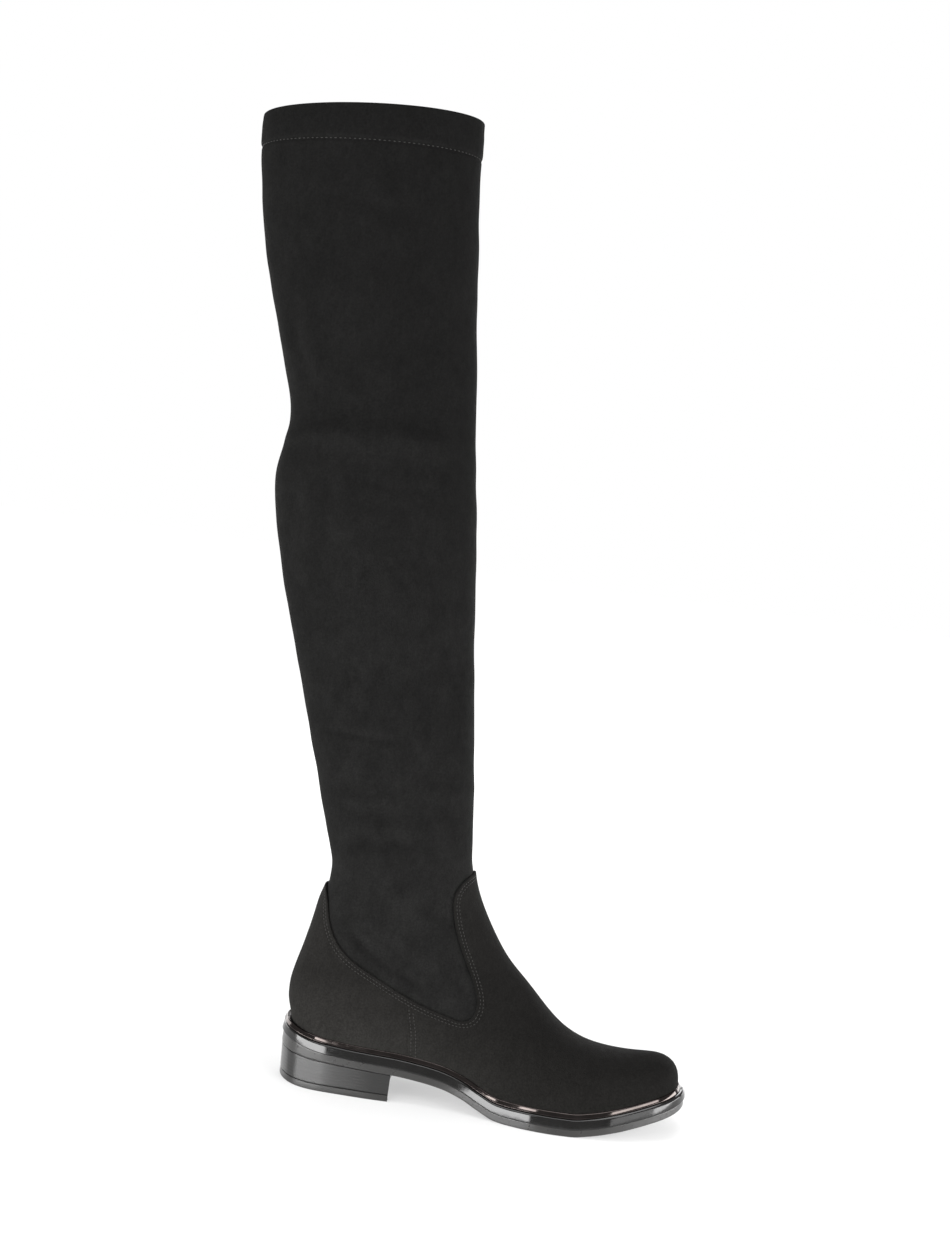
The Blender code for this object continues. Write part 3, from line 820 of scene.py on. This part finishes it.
class Band:
    """One side of the overlay: rows of (theta, level, height) from the edge to the sole."""

    def __init__(self, side):
        self.side = side
        theta, level, joined, self.from_seam = even_edge(side)
        step = seam_step(side, self.from_seam)
        self.rows = []
        for from_edge, out in EDGE_SKIN:
            part = 0.45 + 0.55 * ease(0, 1.2, from_edge)
            self.rows.append((*shifted(side, theta, level, from_edge), out + step * part))
        start_theta, start_level, _ = self.rows[-1]
        start_x = side_point(side, start_theta, start_level)[:, 0]
        end_x = side_point(side, joined, 0 * joined)[:, 0]
        for k in range(1, BAND_ROWS + 1):
            t = (k / BAND_ROWS) ** 1.08
            plain = start_theta + (joined - start_theta) * t
            row_level = start_level * (1 - t)
            back_x = loop_parts[0](row_level)
            front_x = loop_parts[2](row_level)
            along = (start_x + (end_x - start_x) * t - back_x) / (front_x - back_x)
            straight = np.arccos(1 - 2 * np.clip(along, 0, 1))
            weight = ease(0.05, 0.25, along) * (1 - ease(0.70, 0.95, along))
            self.rows.append((plain + (straight - plain) * weight, row_level, OVERLAY_OUT + step))

    def skin(self, row, distance=None):
        """Points of a row, at its own height over the form or at another distance."""
        theta, level, out = self.rows[row]
        out = np.broadcast_to(out if distance is None else distance, theta.shape)
        return form_offset(round_angle(self.side, theta), level, out)

    def facing(self, row):
        """The form's normals along a row."""
        theta, level, _ = self.rows[row]
        return normals(round_angle(self.side, theta), level)


bands = [Band(0), Band(1)]


def both_sides(points):
    """One closed loop from the points that a function gives for the inner and the outer band."""
    inner, outer = map(points, bands)
    return np.concatenate([inner, outer[-2:0:-1]])


def foot_overlay():
    """Proud suede layer round the foot with its rounded cut edge, closed behind."""
    last = len(bands[0].rows) - 1
    loops = [both_sides(lambda band: band.skin(j)) for j in range(last, -1, -1)]
    inside = [0, 2, 7, 12, *range(17, last, 10), last]
    loops += [both_sides(lambda band: band.skin(j, OVERLAY_GAP)) for j in inside]
    make_piece("suede_overlay", "overlay_suede", "foot_overlay", solid(loops, None), overlay_suede)


# ---- stitches

# A stitch's rings of points: where along it, as a share of its length, and how thick.
STITCH_SHAPE = ((-0.44, 0.7), (-0.22, 1), (0.22, 1), (0.44, 0.7))
STITCH_SIDES = 6
STITCH_PITCH = 2.35
STITCH_LONG = 1.65
STITCH_RADIUS = 0.25
HEM_STITCH_PITCH = 3
HEM_STITCH_LONG = 1.7
HEM_STITCH_RADIUS = 0.24


def stitch_row(line, facing, pitch, start=0.5, closed=True):
    """Middle, direction and facing of evenly spaced stitches along a line."""
    if closed:
        line = np.vstack([line, line[:1]])
        facing = np.vstack([facing, facing[:1]])
    length = run_length(line)
    count = int(round(length[-1] / pitch))
    at = (np.arange(count) + start) * length[-1] / count

    def sampled(values, at):
        return np.column_stack([np.interp(at, length, part) for part in values.T])

    run = sampled(line, at + 0.4) - sampled(line, at - 0.4)
    return sampled(line, at), unit(run), sampled(facing, at)


def stitch(length, radius):
    """Points (along, across, up) and faces of one stitch, an arch with its ends sunk in."""
    sunk = -0.9 * radius
    points = [(-0.5 * length, 0, sunk)]
    for along, thick in STITCH_SHAPE:
        arch = -1.1 * radius * abs(2 * along) ** 3
        for turn in np.arange(STITCH_SIDES) * TURN / STITCH_SIDES:
            across = radius * thick * math.cos(turn)
            points.append((along * length, across, arch + radius * thick * math.sin(turn)))
    points.append((0.5 * length, 0, sunk))
    last = len(points) - 1
    faces = []
    for k in range(STITCH_SIDES):
        n = (k + 1) % STITCH_SIDES
        faces.append((0, 1 + n, 1 + k))
        for low in range(1, last - STITCH_SIDES, STITCH_SIDES):
            high = low + STITCH_SIDES
            faces.append((low + k, low + n, high + n, high + k))
        top = last - STITCH_SIDES
        faces.append((top + k, top + n, last))
    return np.array(points), faces


def stitches(name, slot, rows, length, radius):
    """A piece of all stitches of some rows, each a short capsule of thread."""
    shape, sides = stitch(length, radius)
    middle, run, up = [np.concatenate(part) for part in zip(*rows)]
    up = unit(up - run * dot(up, run)[:, None])
    axes = np.stack([run, np.cross(up, run), up], axis=1)
    points = (middle[:, None] + shape @ axes).reshape(-1, 3)
    faces = [[p + start for p in side] for start in range(0, len(points), len(shape)) for side in sides]
    make_piece(name, slot, None, (points, faces), thread_grey)


def edge_stitches():
    """Two rows of stitches along the overlay's edge, right round the ankle."""
    rows = []
    for number, from_edge in enumerate(STITCH_ROWS):
        j = [row[0] for row in EDGE_SKIN].index(from_edge)
        line = both_sides(lambda band: band.skin(j))
        facing = both_sides(lambda band: band.facing(j))
        rows.append(stitch_row(line, facing, STITCH_PITCH, 0.25 + 0.5 * number))
    stitches("overlay_stitches", "overlay_suede", rows, STITCH_LONG, STITCH_RADIUS)


def seam_stitches():
    """Two rows of stitches down the quarter seam on the inner side."""
    band = bands[0]
    picked = range(len(EDGE_SKIN), len(band.rows) - 4)
    rows = []
    for number, beside in enumerate(SEAM_STITCH_ROWS):
        k = int(np.argmin(np.abs(band.from_seam - beside)))
        line = np.array([band.skin(j)[k] for j in picked])
        facing = np.array([band.facing(j)[k] for j in picked])
        rows.append(stitch_row(line, facing, STITCH_PITCH, 0.3 + 0.4 * number, closed=False))
    stitches("seam_stitches", "overlay_suede", rows, STITCH_LONG, STITCH_RADIUS)


# ---- the stretch upper

LEG_RADIUS = 38
HEM_FRONT_EXTRA = 4
HEM_GROOVE = 0.45
HEM_PUFF = 0.55
SEAM_GROOVE = 0.35
SEAM_RIDGE = 0.14
FULL_ROOM = 20.0


def field(points, size, seed):
    """Smooth noise of about +-1 over points, with lumps of a size in millimetres."""
    flat = (points.reshape(-1, 3) / size + seed).tolist()
    return np.array([noise.noise(Vector(p)) for p in flat]).reshape(points.shape[:-1]) * 1.6


def hem_line(theta):
    """Level of the hem's stitch row: a little lower at the front."""
    return TOP_LEVEL - HEM_DEPTH - HEM_FRONT_EXTRA * share_at(theta)


def opening_room(points, side):
    """How far inside the overlay's opening each point is, seen from the side; 0 outside it."""
    theta, level = bands[side].rows[0][:2]
    edge = side_point(side, theta, level)[:, [0, 2]]
    edge = np.vstack([edge, (150, 150), (150, 400), (-80, 400), (-80, 126)])
    ends = np.roll(edge, -1, axis=0)
    at = points[:, None, :]
    run = ends - edge
    share = dot(at - edge, run) / np.maximum(dot(run, run), 1e-9)
    nearest = edge + np.clip(share, 0, 1)[..., None] * run
    distance = np.linalg.norm(at - nearest, axis=2).min(axis=1)
    here = edge - at
    there = ends - at
    cross = here[..., 0] * there[..., 1] - here[..., 1] * there[..., 0]
    turned = np.arctan2(cross, dot(here, there)).sum(axis=1)
    return np.where(np.abs(turned) > math.pi, distance, 0)


def crease_relief(points, inner_share):
    """Height of the placed creases, with small bends in their lines.

    The leg seen from its side is a plane of complex numbers, turned to lie along each crease.
    """
    flat = points[..., 0] + 1j * points[..., 2]
    wander = CREASE_WANDER * field(points, 26, 3.7)
    on_side = (1, ease(0.35, 0.8, inner_share), ease(0.35, 0.8, 1 - inner_share))
    total = 0
    for from_x, from_z, to_x, to_z, depth, width, side in CREASES:
        start = complex(from_x, from_z)
        run = complex(to_x, to_z) - start
        length = abs(run)
        turned = (flat - start) * run.conjugate() / length
        along = turned.real
        across = turned.imag + wander
        window = ease(-0.22 * length, 0.25 * length, along) * on_side[side]
        window = window * (1 - ease(0.75 * length, 1.22 * length, along))
        fold = -hump(across, width)
        for beside in (-2 * width, 2 * width):
            fold = fold + 0.32 * hump(across + beside, 1.3 * width)
        total = total + CREASE_GAIN * depth * window * fold
    return total


def upper_relief(theta, level):
    """Height of the stretch leather over the form: creases, soft waves, hem and back seam."""
    points = form(theta, level)
    waves = 0.50 * field(points, 46, 11.3) + 0.26 * field(points, 19, 5.1)
    soft = crease_relief(points, 0.5 + 0.5 * np.sin(theta)) + waves
    room = np.full(theta.shape, FULL_ROOM)
    for side, here in ((0, theta <= math.pi), (1, theta > math.pi)):
        picked = (points[..., 2] < 160) & here
        room[picked] = opening_room(points[picked][:, [0, 2]], side)
    soft = soft * ease(0, 9, room)
    hem = level - hem_line(theta)
    soft = soft * (1 - 0.8 * ease(-14, 4, hem))
    band = ease(0, 3.5, hem) * (1 - ease(HEM_DEPTH - 7, HEM_DEPTH - 1, hem))
    puff = HEM_PUFF * (0.35 * ease(0.2, 1.2, hem) + 0.65 * band)
    groove = HEM_GROOVE * hump(hem, 0.9)
    from_seam = np.minimum(theta, TURN - theta) * LEG_RADIUS
    seam = SEAM_RIDGE * hump(from_seam - 2.2, 1.2) - SEAM_GROOVE * hump(from_seam, 0.55)
    return soft + puff - groove + seam * ease(0, 10, room)


def painted_fold_shade(theta, level):
    """Painted fold shade from the relief's slopes: above 0, lighter, where the leather faces down or to
    the back.
    """
    up = upper_relief(theta, level + 1.5) - upper_relief(theta, level - 1.5)
    turn = 0.04
    around = upper_relief(np.mod(theta + turn, TURN), level)
    around = around - upper_relief(np.mod(theta - turn, TURN), level)
    slope = up / 3 + 0.5 * around / (2 * turn * LEG_RADIUS)
    return np.clip(slope, -FOLD_SHADE_LIMIT, FOLD_SHADE_LIMIT)


def upper_angles():
    """Angles round the leg, closer at the back seam."""
    near = np.array([0.25, 0.5, 0.8, 1.2, 1.8, 2.5, 3.3]) / LEG_RADIUS
    even = np.linspace(0, TURN, 192, endpoint=False)
    return np.sort(np.r_[even, near, TURN - near])


def stretch_upper():
    """Hollow stretch upper: suede outside, the hem turned in at the top, knit lining inside."""
    theta = upper_angles()
    hem_low = TOP_LEVEL - HEM_DEPTH - HEM_FRONT_EXTRA
    hem_end = TOP_LEVEL - HEM_DEPTH
    round_off = 0.5 * HEM_WALL
    outer = np.r_[
        np.arange(0, 60, 3),
        np.arange(60, hem_low - 3, 2.2),
        np.arange(hem_low - 3, hem_low + 7.5, 0.45),
        np.arange(hem_low + 8.5, TOP_LEVEL - round_off, 1.8),
    ]
    inner = np.r_[
        np.arange(TOP_LEVEL - round_off - 2.5, hem_end + 1, -2.5),
        hem_end + np.array([0.5, -0.2, -0.8]),
        np.arange(hem_end - 4, 2, -5),
        0,
    ]
    turn = np.linspace(0, math.pi, 9)
    wall = np.where(inner > hem_end, HEM_WALL, UPPER_WALL)
    outs = np.r_[0 * outer, round_off * (np.cos(turn) - 1), -wall]
    levels = np.r_[outer, TOP_LEVEL - round_off + round_off * np.sin(turn), inner]
    around, level = np.meshgrid(theta, levels)
    relief = upper_relief(around, level)
    shape = solid(form_offset(around, level, relief + outs[:, None]), None)
    lined = (outs < 0) & (levels < hem_end - 1)
    slots = np.repeat(lined.astype(np.int32), len(theta))
    # Painted light and shade over the folds, kept on the points for the suede's colour.
    looks = {"slots": slots, "fold_shade": painted_fold_shade(around, level).ravel()}
    make_piece("suede_upper", "stretch_suede", "upper", shape, shaft_suede, lining, **looks)


def hem_stitches():
    """One row of stitches round the collar that holds the hem."""
    theta = np.linspace(0, TURN, 720, endpoint=False)
    level = hem_line(theta)
    line = form_offset(theta, level, upper_relief(theta, level) + 0.05)
    row = stitch_row(line, normals(theta, level), HEM_STITCH_PITCH)
    stitches("hem_stitches", "stretch_suede", [row], HEM_STITCH_LONG, HEM_STITCH_RADIUS)


# ---- sole, bead and heel

THETA = np.linspace(0, TURN, 440, endpoint=False)
FINE = np.linspace(0, TURN, 1441)
OUTSOLE_ROWS = 13
OUTSOLE_LEAN = 0.3
TREAD_RIM = 5
TREAD_DEEP = 0.8


def level_loop(distance, height):
    """Loop at a distance out from the foot's outline and a height over the sole's line."""
    flat = offset_outline(THETA, distance)
    x = flat[:, 0]
    lifted = np.where(x > HEEL_END, 1, min(height / OUTSOLE_THICK, 1))
    return np.column_stack([flat, sole_line(x) + end_rise(x) * lifted + height])


def eased_steps(count):
    """Shares from 0 to 1, closer together at both ends."""
    return share_at(np.linspace(0, math.pi, count))


def beyond(x, start, end):
    """0 up to a start, then rising evenly to 1 at an end."""
    return max(0, (x - start) / (end - start))


def outsole():
    """Outsole whose face leans in a little towards the top, its underside hollowed for the tread."""
    around = sole_edge(THETA)
    rim = around - TREAD_RIM
    loops = [level_loop(rim - 0.3, TREAD_DEEP), level_loop(rim, 0)]
    for t in eased_steps(OUTSOLE_ROWS):
        rounding = 0.5 * beyond(t, 0.12, 0) ** 2.2 + 0.25 * beyond(t, 0.94, 1) ** 2
        loops.append(level_loop(around - OUTSOLE_LEAN * t - rounding, OUTSOLE_THICK * t))
    make_piece("rubber_outsole", "outsole_rubber", "outsole", solid(loops), sole_rubber, sharp=50)


RIB_SECTION = ((-0.5, 0), (0.5, 0), (0.28, 1), (-0.28, 1))
RIB_WIDTH = 1.7
RIB_DEEP = TREAD_DEEP + 0.1
RIB_BEND = 0.8
RIB_WAVES = 6
RIB_PITCH = 3.4
RIB_STEPS = 49
TREAD_FROM = 92
TREAD_TO = 250


def rib(x, y_from, y_to):
    """Loops of a tread rib across the sole: a bar of four sides along a gentle wave."""
    share = np.linspace(0, 1, RIB_STEPS)
    x = x + RIB_BEND * np.cos(RIB_WAVES * math.pi * share)
    y = y_from + (y_to - y_from) * share
    rows = []
    for across, down in RIB_SECTION:
        side = x + across * RIB_WIDTH
        rows.append(np.column_stack([side, y, sole_line(side) + RIB_DEEP * (1 - down)]))
    return np.stack(rows, axis=1)


def sole_sides(inset):
    """The sole's outline moved in: its inner and its outer side, from the back to the toe."""
    edge = offset_outline(FINE, sole_edge(FINE) - inset)
    half = len(FINE) // 2
    return edge[: half + 1], edge[: half - 1 : -1]


def tread():
    """Waved ribs in the hollow of the forefoot's underside, level with its rim."""
    sides = sole_sides(TREAD_RIM + 1.2)
    points = []
    faces = []
    for x in np.arange(TREAD_FROM, TREAD_TO, RIB_PITCH):
        made, quads = solid(rib(x, *[np.interp(x, *side.T[:2]) for side in sides]), flat_cap)
        start = len(points) * len(made)
        faces += [[p + start for p in quad] for quad in quads]
        points.append(made)
    shape = (np.concatenate(points), faces)
    make_piece("tread_ribs", "outsole_rubber", None, shape, sole_rubber, sharp=30)


MIDSOLE_ROWS = 31
MIDSOLE_OUT = 0.45
MIDSOLE_BACK_OUT = 0.3
MIDSOLE_DROP = 0.15


def midsole():
    """Gloss band whose face leans in towards the top and ends in a sloped shoulder."""
    around = sole_edge(THETA) + MIDSOLE_OUT + MIDSOLE_BACK_OUT * at_back(THETA, 0.10)
    loops = []
    for t in eased_steps(MIDSOLE_ROWS):
        lean = MIDSOLE_THICK * (0.175 * t + 0.03 * t * t)
        rounding = 0.15 * beyond(t, 0.05, 0) ** 2 + 1.05 * beyond(t, 0.8, 1) ** 1.5
        height = MIDSOLE_BOTTOM - MIDSOLE_DROP + (MIDSOLE_THICK + MIDSOLE_DROP) * t
        loops.append(level_loop(around - lean - rounding, height))
    make_piece("gloss_midsole", "gloss_band", "midsole", solid(loops), gloss_black, sharp=50)


BEAD_LEAN = math.radians(28)
BEAD_OUT = 0.5
BEAD_HIGH = 2.75
BEAD_IN = -1.25
BEAD_LOW_ROUND = 0.3
BEAD_TOP_ROUND = 1
BEAD_BACK_OUT = 1.8
BEAD_RAISED = 0.05


def bead_section():
    """The bead's section, out and up: a flat face that leans in, with rounded corners."""
    cos = math.cos(BEAD_LEAN)
    sin = math.sin(BEAD_LEAN)
    low_out = BEAD_OUT - BEAD_LOW_ROUND
    reach = low_out * cos + BEAD_LOW_ROUND * sin + BEAD_LOW_ROUND
    top_up = BEAD_HIGH - BEAD_TOP_ROUND
    top_out = (reach - BEAD_TOP_ROUND - top_up * sin) / cos
    corners = (
        (low_out, BEAD_LOW_ROUND, BEAD_LOW_ROUND, -0.5 * math.pi, BEAD_LEAN, 6),
        (top_out, top_up, BEAD_TOP_ROUND, BEAD_LEAN, 0.5 * math.pi, 8),
    )
    points = []
    for out, up, radius, start, end, steps in corners:
        for turn in np.linspace(start, end, steps):
            points.append((out + radius * math.cos(turn), up + radius * math.sin(turn)))
    return points + [(BEAD_IN, BEAD_HIGH), (BEAD_IN, 0)]


def metal_bead():
    """A polished bead that follows the foot on the midsole's edge."""
    at = BEAD_FROM_UPPER + BEAD_BACK_OUT * at_back(THETA, 0.12)
    low = UPPER_BOTTOM + BEAD_RAISED
    shape = solid([level_loop(at + out, low + up) for out, up in bead_section()], None)
    make_piece("polished_bead", "bead_metal", "metal_bead", shape, bead_plating, sharp=35)


def insole():
    """Sock insole, its edge rounded down."""
    out = -UPPER_WALL - 0.9
    low = UPPER_BOTTOM + 0.15
    edges = ((-0.3, 0), (0, 0.6), (-0.05, 1.4), (-0.3, 2), (-0.8, 2.35), (-1.5, 2.5))
    shape = solid([level_loop(out + more, low + up) for more, up in edges])
    make_piece("sock_insole", "insole_fabric", "insole", shape, insole_knit, sharp=60)


HEEL_STATIONS = 70
BREAST_STEPS = 26
HEEL_TUCK = 0.8


def heel_loop(inset, height, tuck):
    """The sole's outline behind the heel breast, closed by the breast's shallow hollow.

    It is moved in by inset, and by tuck more at the back. height gives its height from x.
    """
    sides = sole_sides(inset + tuck * at_back(FINE, 0.05))
    back = sides[0][0, 0]
    xs = back + (BREAST_X - back) * np.linspace(0, 1, HEEL_STATIONS) ** 1.8
    inner_y, outer_y = [np.interp(xs, *side.T) for side in sides]
    inner_y[0] = 0
    outer_y[0] = 0
    across = np.linspace(inner_y[-1], outer_y[-1], BREAST_STEPS)[1:-1]
    middle = 0.5 * (inner_y[-1] + outer_y[-1])
    reach = 0.5 * (outer_y[-1] - inner_y[-1])
    hollow = BREAST_X - BREAST_HOLLOW * (1 - ((across - middle) / reach) ** 2)
    x = np.r_[xs, hollow, xs[:0:-1]]
    return np.column_stack([x, np.r_[inner_y, across, outer_y[:0:-1]], height(x)])


def heel_cap(start, count):
    """Cap across a heel loop: strips between the sides, then one face along the breast."""
    row = list(range(start, start + count))
    last = HEEL_STATIONS - 1
    faces = [[row[0], row[1], row[-1]]]
    faces += [[row[i], row[i + 1], row[-i - 1], row[-i]] for i in range(1, last - 1)]
    return faces + [row[last - 1 : len(row) - last + 2]]


def heel_piece(name, slot, node, levels, material):
    """Solid through heel loops, each given by its inset, its height function and its tuck."""
    shape = solid([heel_loop(HEEL_TAPER + inset, *rest) for inset, *rest in levels], heel_cap)
    make_piece(name, slot, node, shape, material, sharp=40)


STACK_LINES = (0.15, 0.29, 0.42, 0.57, 0.71, 0.86)
LINE_PROFILE = ((-0.030, 0), (-0.012, 0.75), (0, 1), (0.012, 0.75), (0.030, 0))
LINE_DEEP = 0.05


def heel_block():
    """Stacked heel with fine level lines between its layers."""
    low = LIFT_THICK + LIFT_GAP

    def at_share(share):
        return lambda x: low + (sole_line(x) - GAP - low) * share

    profile = [(0, 0.5), (0.012, 0.12), (0.035, 0)]
    for line in STACK_LINES:
        profile += [(line + up, LINE_DEEP * deep) for up, deep in LINE_PROFILE]
    profile += [(0.965, 0), (0.988, 0.12), (1, 0.5)]
    levels = [(inset, at_share(share), HEEL_TUCK * (1 - share)) for share, inset in profile]
    heel_piece("stacked_heel", "stacked_heel", "heel_block", levels, heel_stack)


# The lift's section from its hollow out and up: distance in, and height over the ground.
LIFT_EDGE = (
    (4.3, 0.6), (4, 0), (0.8, 0), (0.35, 0.12), (0.1, 0.4),
    (0, 0.9), (0.1, 3.4), (0.22, 3.95), (0.6, LIFT_THICK),
)


def top_lift():
    """Rubber lift under the heel, hollowed inside its rim."""
    levels = [(inset, lambda x, up=up: 0 * x + up, HEEL_TUCK) for inset, up in LIFT_EDGE]
    heel_piece("rubber_top_lift", "lift_rubber", "top_lift", levels, lift_rubber)


foot_overlay()
stretch_upper()
edge_stitches()
seam_stitches()
hem_stitches()
outsole()
tread()
midsole()
metal_bead()
insole()
heel_block()
top_lift()

# ---- studio

# The camera stands where the photograph was taken from, turned 8 degrees about its own axis.
CAMERA_AT = Vector((0.0796, -1.050, 0.3615))
AIM = Vector((0.0465, 0, 0.308))
ROLL = math.radians(8)
SENSOR_WIDTH = 36
FOCAL_WIDTHS = 1.737


def camera():
    made = add_object("camera", bpy.data.cameras.new("camera"))
    ahead = (AIM - CAMERA_AT).normalized()
    right = Vector((math.cos(ROLL), 0, math.sin(ROLL)))
    right = (right - ahead * right.dot(ahead)).normalized()
    turn = Matrix((right, right.cross(ahead), -ahead)).transposed().to_4x4()
    made.matrix_world = Matrix.Translation(CAMERA_AT) @ turn
    made.data.sensor_fit = "HORIZONTAL"
    made.data.sensor_width = SENSOR_WIDTH
    made.data.lens = SENSOR_WIDTH * FOCAL_WIDTHS
    made.data.clip_start = 0.05
    made.data.clip_end = 50
    bpy.context.scene.camera = made


SOFTBOXES = (
    # name, degrees from the front towards the toe, distance, width, height, low edge, radiance
    ("left_box", -44, 1.40, 1.66, 0.50, 0.02, 12.3),
    ("left_glow", -47, 1.55, 2.10, 0.52, 0.02, 2.5),
    ("left_high", -17.5, 1.60, 0.42, 0.44, 0.95, 11),
    ("right_box", 84, 1.40, 1.55, 0.50, 0.02, 10.5),
    ("right_glow", 60, 1.55, 1.75, 0.52, 0.02, 3.2),
    ("right_high", 46, 1.60, 0.86, 0.44, 0.82, 9),
    ("back_left_box", -135, 1.60, 1.60, 0.60, 0.02, 3.6),
    ("back_right_box", 150, 1.60, 1.60, 0.60, 0.02, 4.5),
    ("back_high", 178, 1.60, 1.40, 0.50, 0.75, 5.5),
)
BOOT_MIDDLE = 0.05
TOP_SIZE = 1.25
TOP_HEIGHT = 2.2
TOP_RADIANCE = 4


def softbox(name, width, height, radiance):
    """A light that faces down until it is turned, and that the camera doesn't see."""
    data = bpy.data.lights.new(name, "AREA")
    data.shape = "RECTANGLE"
    data.size = width
    data.size_y = height
    data.energy = radiance * math.pi * width * height
    made = add_object(name, data)
    made.visible_camera = False
    return made


def lights():
    """Low wide softboxes round the boot, standing on the floor or held high, and one over it."""
    softbox("top_box", TOP_SIZE, TOP_SIZE, TOP_RADIANCE).location = (0, 0, TOP_HEIGHT)
    for name, degrees, distance, width, height, low_edge, radiance in SOFTBOXES:
        made = softbox(name, width, height, radiance)
        turn = math.radians(degrees)
        away = Vector((math.sin(turn), -math.cos(turn), 0))
        made.location = Vector((BOOT_MIDDLE, 0, 0.5 * height + low_edge)) + away * distance
        made.rotation_euler = (-away).to_track_quat("-Z", "Y").to_euler()


FLOOR_REACH = 14.0


def floor():
    """A plain pale studio floor that brightens to the backdrop's white away from the boot."""
    n = Nodes("studio_floor")
    n.tint((0.42, 0.42, 0.42), n.uneven(0.99, 1.01, 3))
    away = n.node("VectorMath", "Value", {0: n.place}, operation="LENGTH")
    n.feed("Emission Strength", n.remap(away, 0.5, 2.4, 0.48, 0.90))
    n.fixed(Roughness=0.9, Specular_IOR_Level=0.1, Emission_Color=(1.0, 1.0, 1.0))
    r = FLOOR_REACH
    mesh = bpy.data.meshes.new("studio_floor")
    mesh.from_pydata([(-r, -r, 0.0), (r, -r, 0.0), (r, r, 0.0), (-r, r, 0.0)], [], [(0, 1, 2, 3)])
    mesh.materials.append(n.material)
    add_object("studio_floor", mesh)


WORLD_LIGHT = 0.32


def surroundings():
    """An even white backdrop that lights the boot less than it shows."""
    world = bpy.data.worlds.new("studio")
    world.use_nodes = True
    nodes = world.node_tree.nodes
    link = world.node_tree.links.new
    seen = nodes["Background"]
    cast = nodes.new("ShaderNodeBackground")
    cast.inputs["Strength"].default_value = WORLD_LIGHT
    for backdrop in (seen, cast):
        backdrop.inputs["Color"].default_value = (1, 1, 1, 1)
    mixed = nodes.new("ShaderNodeMixShader")
    link(nodes.new("ShaderNodeLightPath").outputs["Is Camera Ray"], mixed.inputs["Fac"])
    link(cast.outputs["Background"], mixed.inputs[1])
    link(seen.outputs["Background"], mixed.inputs[2])
    link(mixed.outputs["Shader"], nodes["World Output"].inputs["Surface"])
    bpy.context.scene.world = world
    bpy.context.scene.view_settings.view_transform = "Standard"


camera()
lights()
floor()
surroundings()
